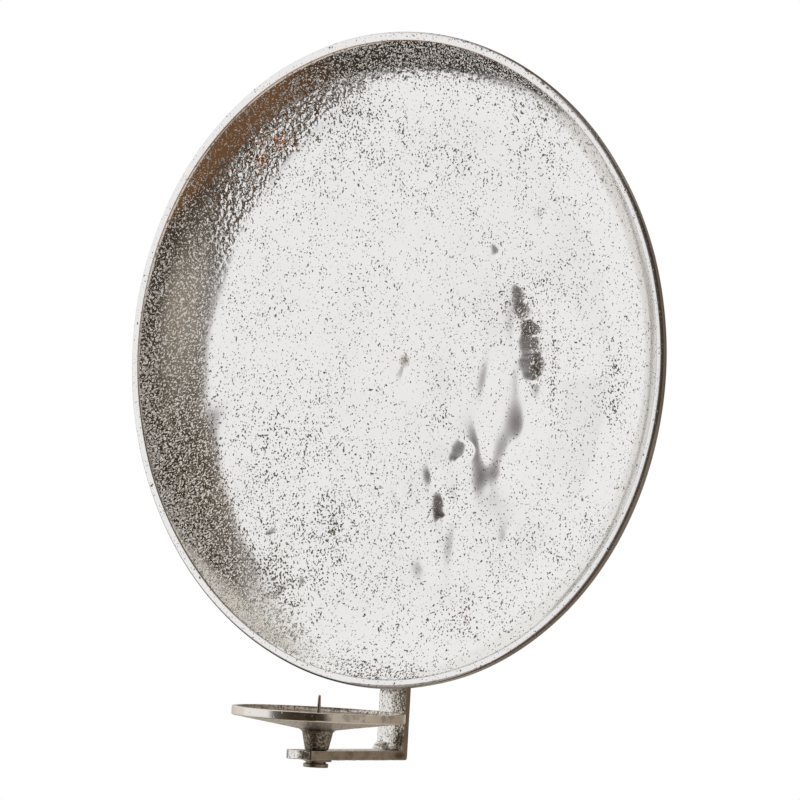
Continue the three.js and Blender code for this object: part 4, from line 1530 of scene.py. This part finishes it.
def bracket_finish():
    """Bright rough cast faces with dark hollows, and dull sides ground along their length.
    The faces carry painted shade on the right, under the dish, in a hole and on the arm's
    end, and their front edges a painted highlight.
    """
    material, tree, shader = new_finish("bracket_casting")
    place = millimetres(tree)
    rough, shaded = attribute(tree, "rough"), attribute(tree, "shaded")

    fine, in_fine = ground_over(place, 1.3, rough * (0.30 + 0.16 * shaded), depth=2.2)
    nicks, in_nick = ground_over(place, 2.0, 0.33, depth=0.8)
    sand = noise(place, size=2.0) * rough * (0.35 + shaded)
    lines = add_field(tree, "ShaderNodeMapping", 0, Vector=place, Scale=(1.0, 0.06, 0.06))
    scratches = 0.012 * noise(lines, size=0.5, roughness=0.6)
    raise_surface(tree, shader, fine + sand + scratches + nicks)

    # Stains at random, and the upright's sides darker than the arm's
    stain = 0.45 * rise(noise(place, size=6.0, detail=3.0), 0.42, 0.68)
    stain = stain.at_least(0.5 * attribute(tree, "upright")) * (1.0 - rough)
    # The rough faces take the ground sides' colour as painted shade on the right and under the
    # dish; over that go a dark patch, painted shade, dirt in the hollows and a painted highlight
    colour = lay_over(
        GROUND_SIDE_AND_SHADE,
        (rough, blend(0.7 * shaded, BRACKET_METAL, GROUND_SIDE_AND_SHADE)),
        (stain.at_least(0.9 * attribute(tree, "dark_patch_and_shade")), BRACKET_DIRT_AND_SHADE),
        (0.55 * in_fine.at_least(in_nick), BRACKET_DIRT_AND_SHADE),
        (attribute(tree, "edge"), EDGE_HIGHLIGHT),
    )
    set_inputs(tree, shader, Base_Color=colour, Metallic=1.0, Roughness=0.30 - 0.12 * rough)
    return material


PLATE_METAL = (0.66, 0.61, 0.55)
PLATE_STEM = (0.26, 0.225, 0.185)
PLATE_POLISHED = (0.78, 0.745, 0.70)
PLATE_DIRT = (0.12, 0.09, 0.065)


def plate_finish():
    """Sandy cast faces, darker on the stem, and a polished band with a few small pits, which
    has patches of painted shade on its right side."""
    material, tree, shader = new_finish("plate_casting")
    place = millimetres(tree)
    polished, sandy = attribute(tree, "polished"), attribute(tree, "sandy")

    sand, in_sand = ground_over(place, 1.4, 0.50 * sandy, depth=2.6)
    few, in_few = ground_over(place, 2.2, 0.33, depth=1.2)
    raise_surface(tree, shader, sand + few)

    x, _, z = coordinates(place)
    stem_top = plate_low[2] + plate_underside(STEM_FLARE_RADIUS)
    skin = blend(rise(z, stem_top - 1, stem_top + 2), PLATE_STEM, PLATE_METAL)
    # Painted shade in patches on the band's right side, in the stem's colour
    band_shade = rise(noise(place, size=7.0, detail=3.0), 0.45, 0.62) * rise(x, 8, 30)
    band = blend(0.5 * band_shade, PLATE_POLISHED, PLATE_STEM)
    dirt = 0.4 * in_sand.at_least(in_few)
    colour = lay_over(skin, (polished, band), (dirt, PLATE_DIRT))
    set_inputs(tree, shader, Base_Color=colour, Metallic=1.0, Roughness=0.14 + 0.16 * sandy)
    return material


# Steels: main colour, colour of the clouds in it, roughness, and the size of the marks in
# millimetres
SPIKE_STEEL = ((0.42, 0.38, 0.34), (0.50, 0.30, 0.20), 0.16, 1.2)
ZINC_STEEL = ((0.34, 0.30, 0.255), (0.20, 0.17, 0.135), 0.26, 0.8)
SCREW_STEEL = ((0.30, 0.27, 0.235), (0.20, 0.17, 0.14), 0.30, 0.8)


def steel_finish(name, base, tint, roughness, mark_size):
    """Steel with faint clouds in its colour and fine uneven marks."""
    material, tree, shader = new_finish(name)
    place = millimetres(tree)
    clouds = rise(noise(place, mark_size * 5, detail=3.0), 0.35, 0.68)
    marks = noise(place, mark_size, detail=3.0, roughness=0.6)
    raise_surface(tree, shader, 0.03 * marks)
    colour = blend(clouds, base, tint)
    set_inputs(tree, shader, Base_Color=colour, Metallic=1.0, Roughness=roughness + 0.14 * marks)
    return material


# How near points are welded and how wide corners are softened, in millimetres, and from
# which angle on
WELD_DISTANCE = 0.002
SOFT_EDGE = 0.25
SOFT_ANGLE = math.radians(40)


def dress_node(name, material):
    """Gives a node of the frame its finish, and softens its corners."""
    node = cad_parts[name]
    node.data.materials.clear()
    node.data.materials.append(material)
    weld = node.modifiers.new("weld", "WELD")
    weld.merge_threshold = WELD_DISTANCE * MM
    bevel = node.modifiers.new("edge", "BEVEL")
    bevel.width = SOFT_EDGE * MM
    bevel.segments = 2
    bevel.limit_method = "ANGLE"
    bevel.angle_limit = SOFT_ANGLE


photo_camera()
studio_world()
studio_floor()
studio_key()

dish_metal = dish_finish()
bracket_metal = bracket_finish()
plate_metal = plate_finish()
spike_steel = steel_finish("spike_steel", *SPIKE_STEEL)
zinc_steel = steel_finish("zinc_steel", *ZINC_STEEL)
screw_steel = steel_finish("screw_steel", *SCREW_STEEL)

settle(cast_dish(), "wall_frame", "dish_casting", dish_metal, "reflector_dish")
settle(cast_bracket(), "wall_frame", "bracket_casting", bracket_metal, "bracket")
settle(cast_plate(), "turning_plate", "plate_casting", plate_metal, "candle_plate")
settle(steel_spike(), "turning_plate", "spike_steel", spike_steel, "candle_spike")
settle(plate_screw(), "turning_plate", "zinc_steel", zinc_steel, "plate_screw")
washer = flat_washer("flat_washer", washer_low, washer_high, *FLAT_WASHER)
settle(washer, "turning_plate", "zinc_steel", zinc_steel, "plate_washer")
split_washer = flat_washer("split_washer", spring_low, spring_high, *SPLIT_WASHER)
settle(split_washer, "turning_plate", "screw_steel", screw_steel, "plate_spring_washer")

for end in ("lower", "upper"):
    for size, holder, sizes in (("m5", "bracket", M5_SCREW), ("m4", "hanger", M4_SCREW)):
        node_name = f"{holder}_screw_{end}"
        screw = countersunk_screw(f"countersunk_{size}_{end}", node_name, *sizes)
        settle(screw, "wall_frame", "screw_steel", screw_steel, node_name)

dress_node("hanger_strap", zinc_steel)

# The pad reaches from the dish's back to the bracket, and at each strap screw a boss reaches
# to the strap.
pad_bottom = dish_low[2] + PAD_EDGE_INSET
pad_top = bracket_high[2] + PAD_MARGIN
pad_outline = rectangle_outline(BAR_WIDTH + 2 * PAD_MARGIN, pad_top - pad_bottom, PAD_CORNER)
pad_middle = (pad_bottom + pad_top) / 2
pad = back_block("dish_pad", pad_middle, pad_outline, PAD_CORNER, -UPRIGHT_THICKNESS)
settle(pad, "wall_frame", "dish_casting", dish_metal)
for end in ("lower", "upper"):
    low, high = corners(f"hanger_screw_{end}")
    middle_z = (low[2] + high[2]) / 2
    outline = circle_outline(BOSS_COLUMNS)
    boss = back_block(f"strap_boss_{end}", middle_z, outline, BOSS_RADIUS, strap_low[1])
    settle(boss, "wall_frame", "dish_casting", dish_metal)

low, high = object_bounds()
sizes = {
    "cad": [list(cad_box[0]), list(cad_box[1])],
    "visual": [list(low), list(high)],
}
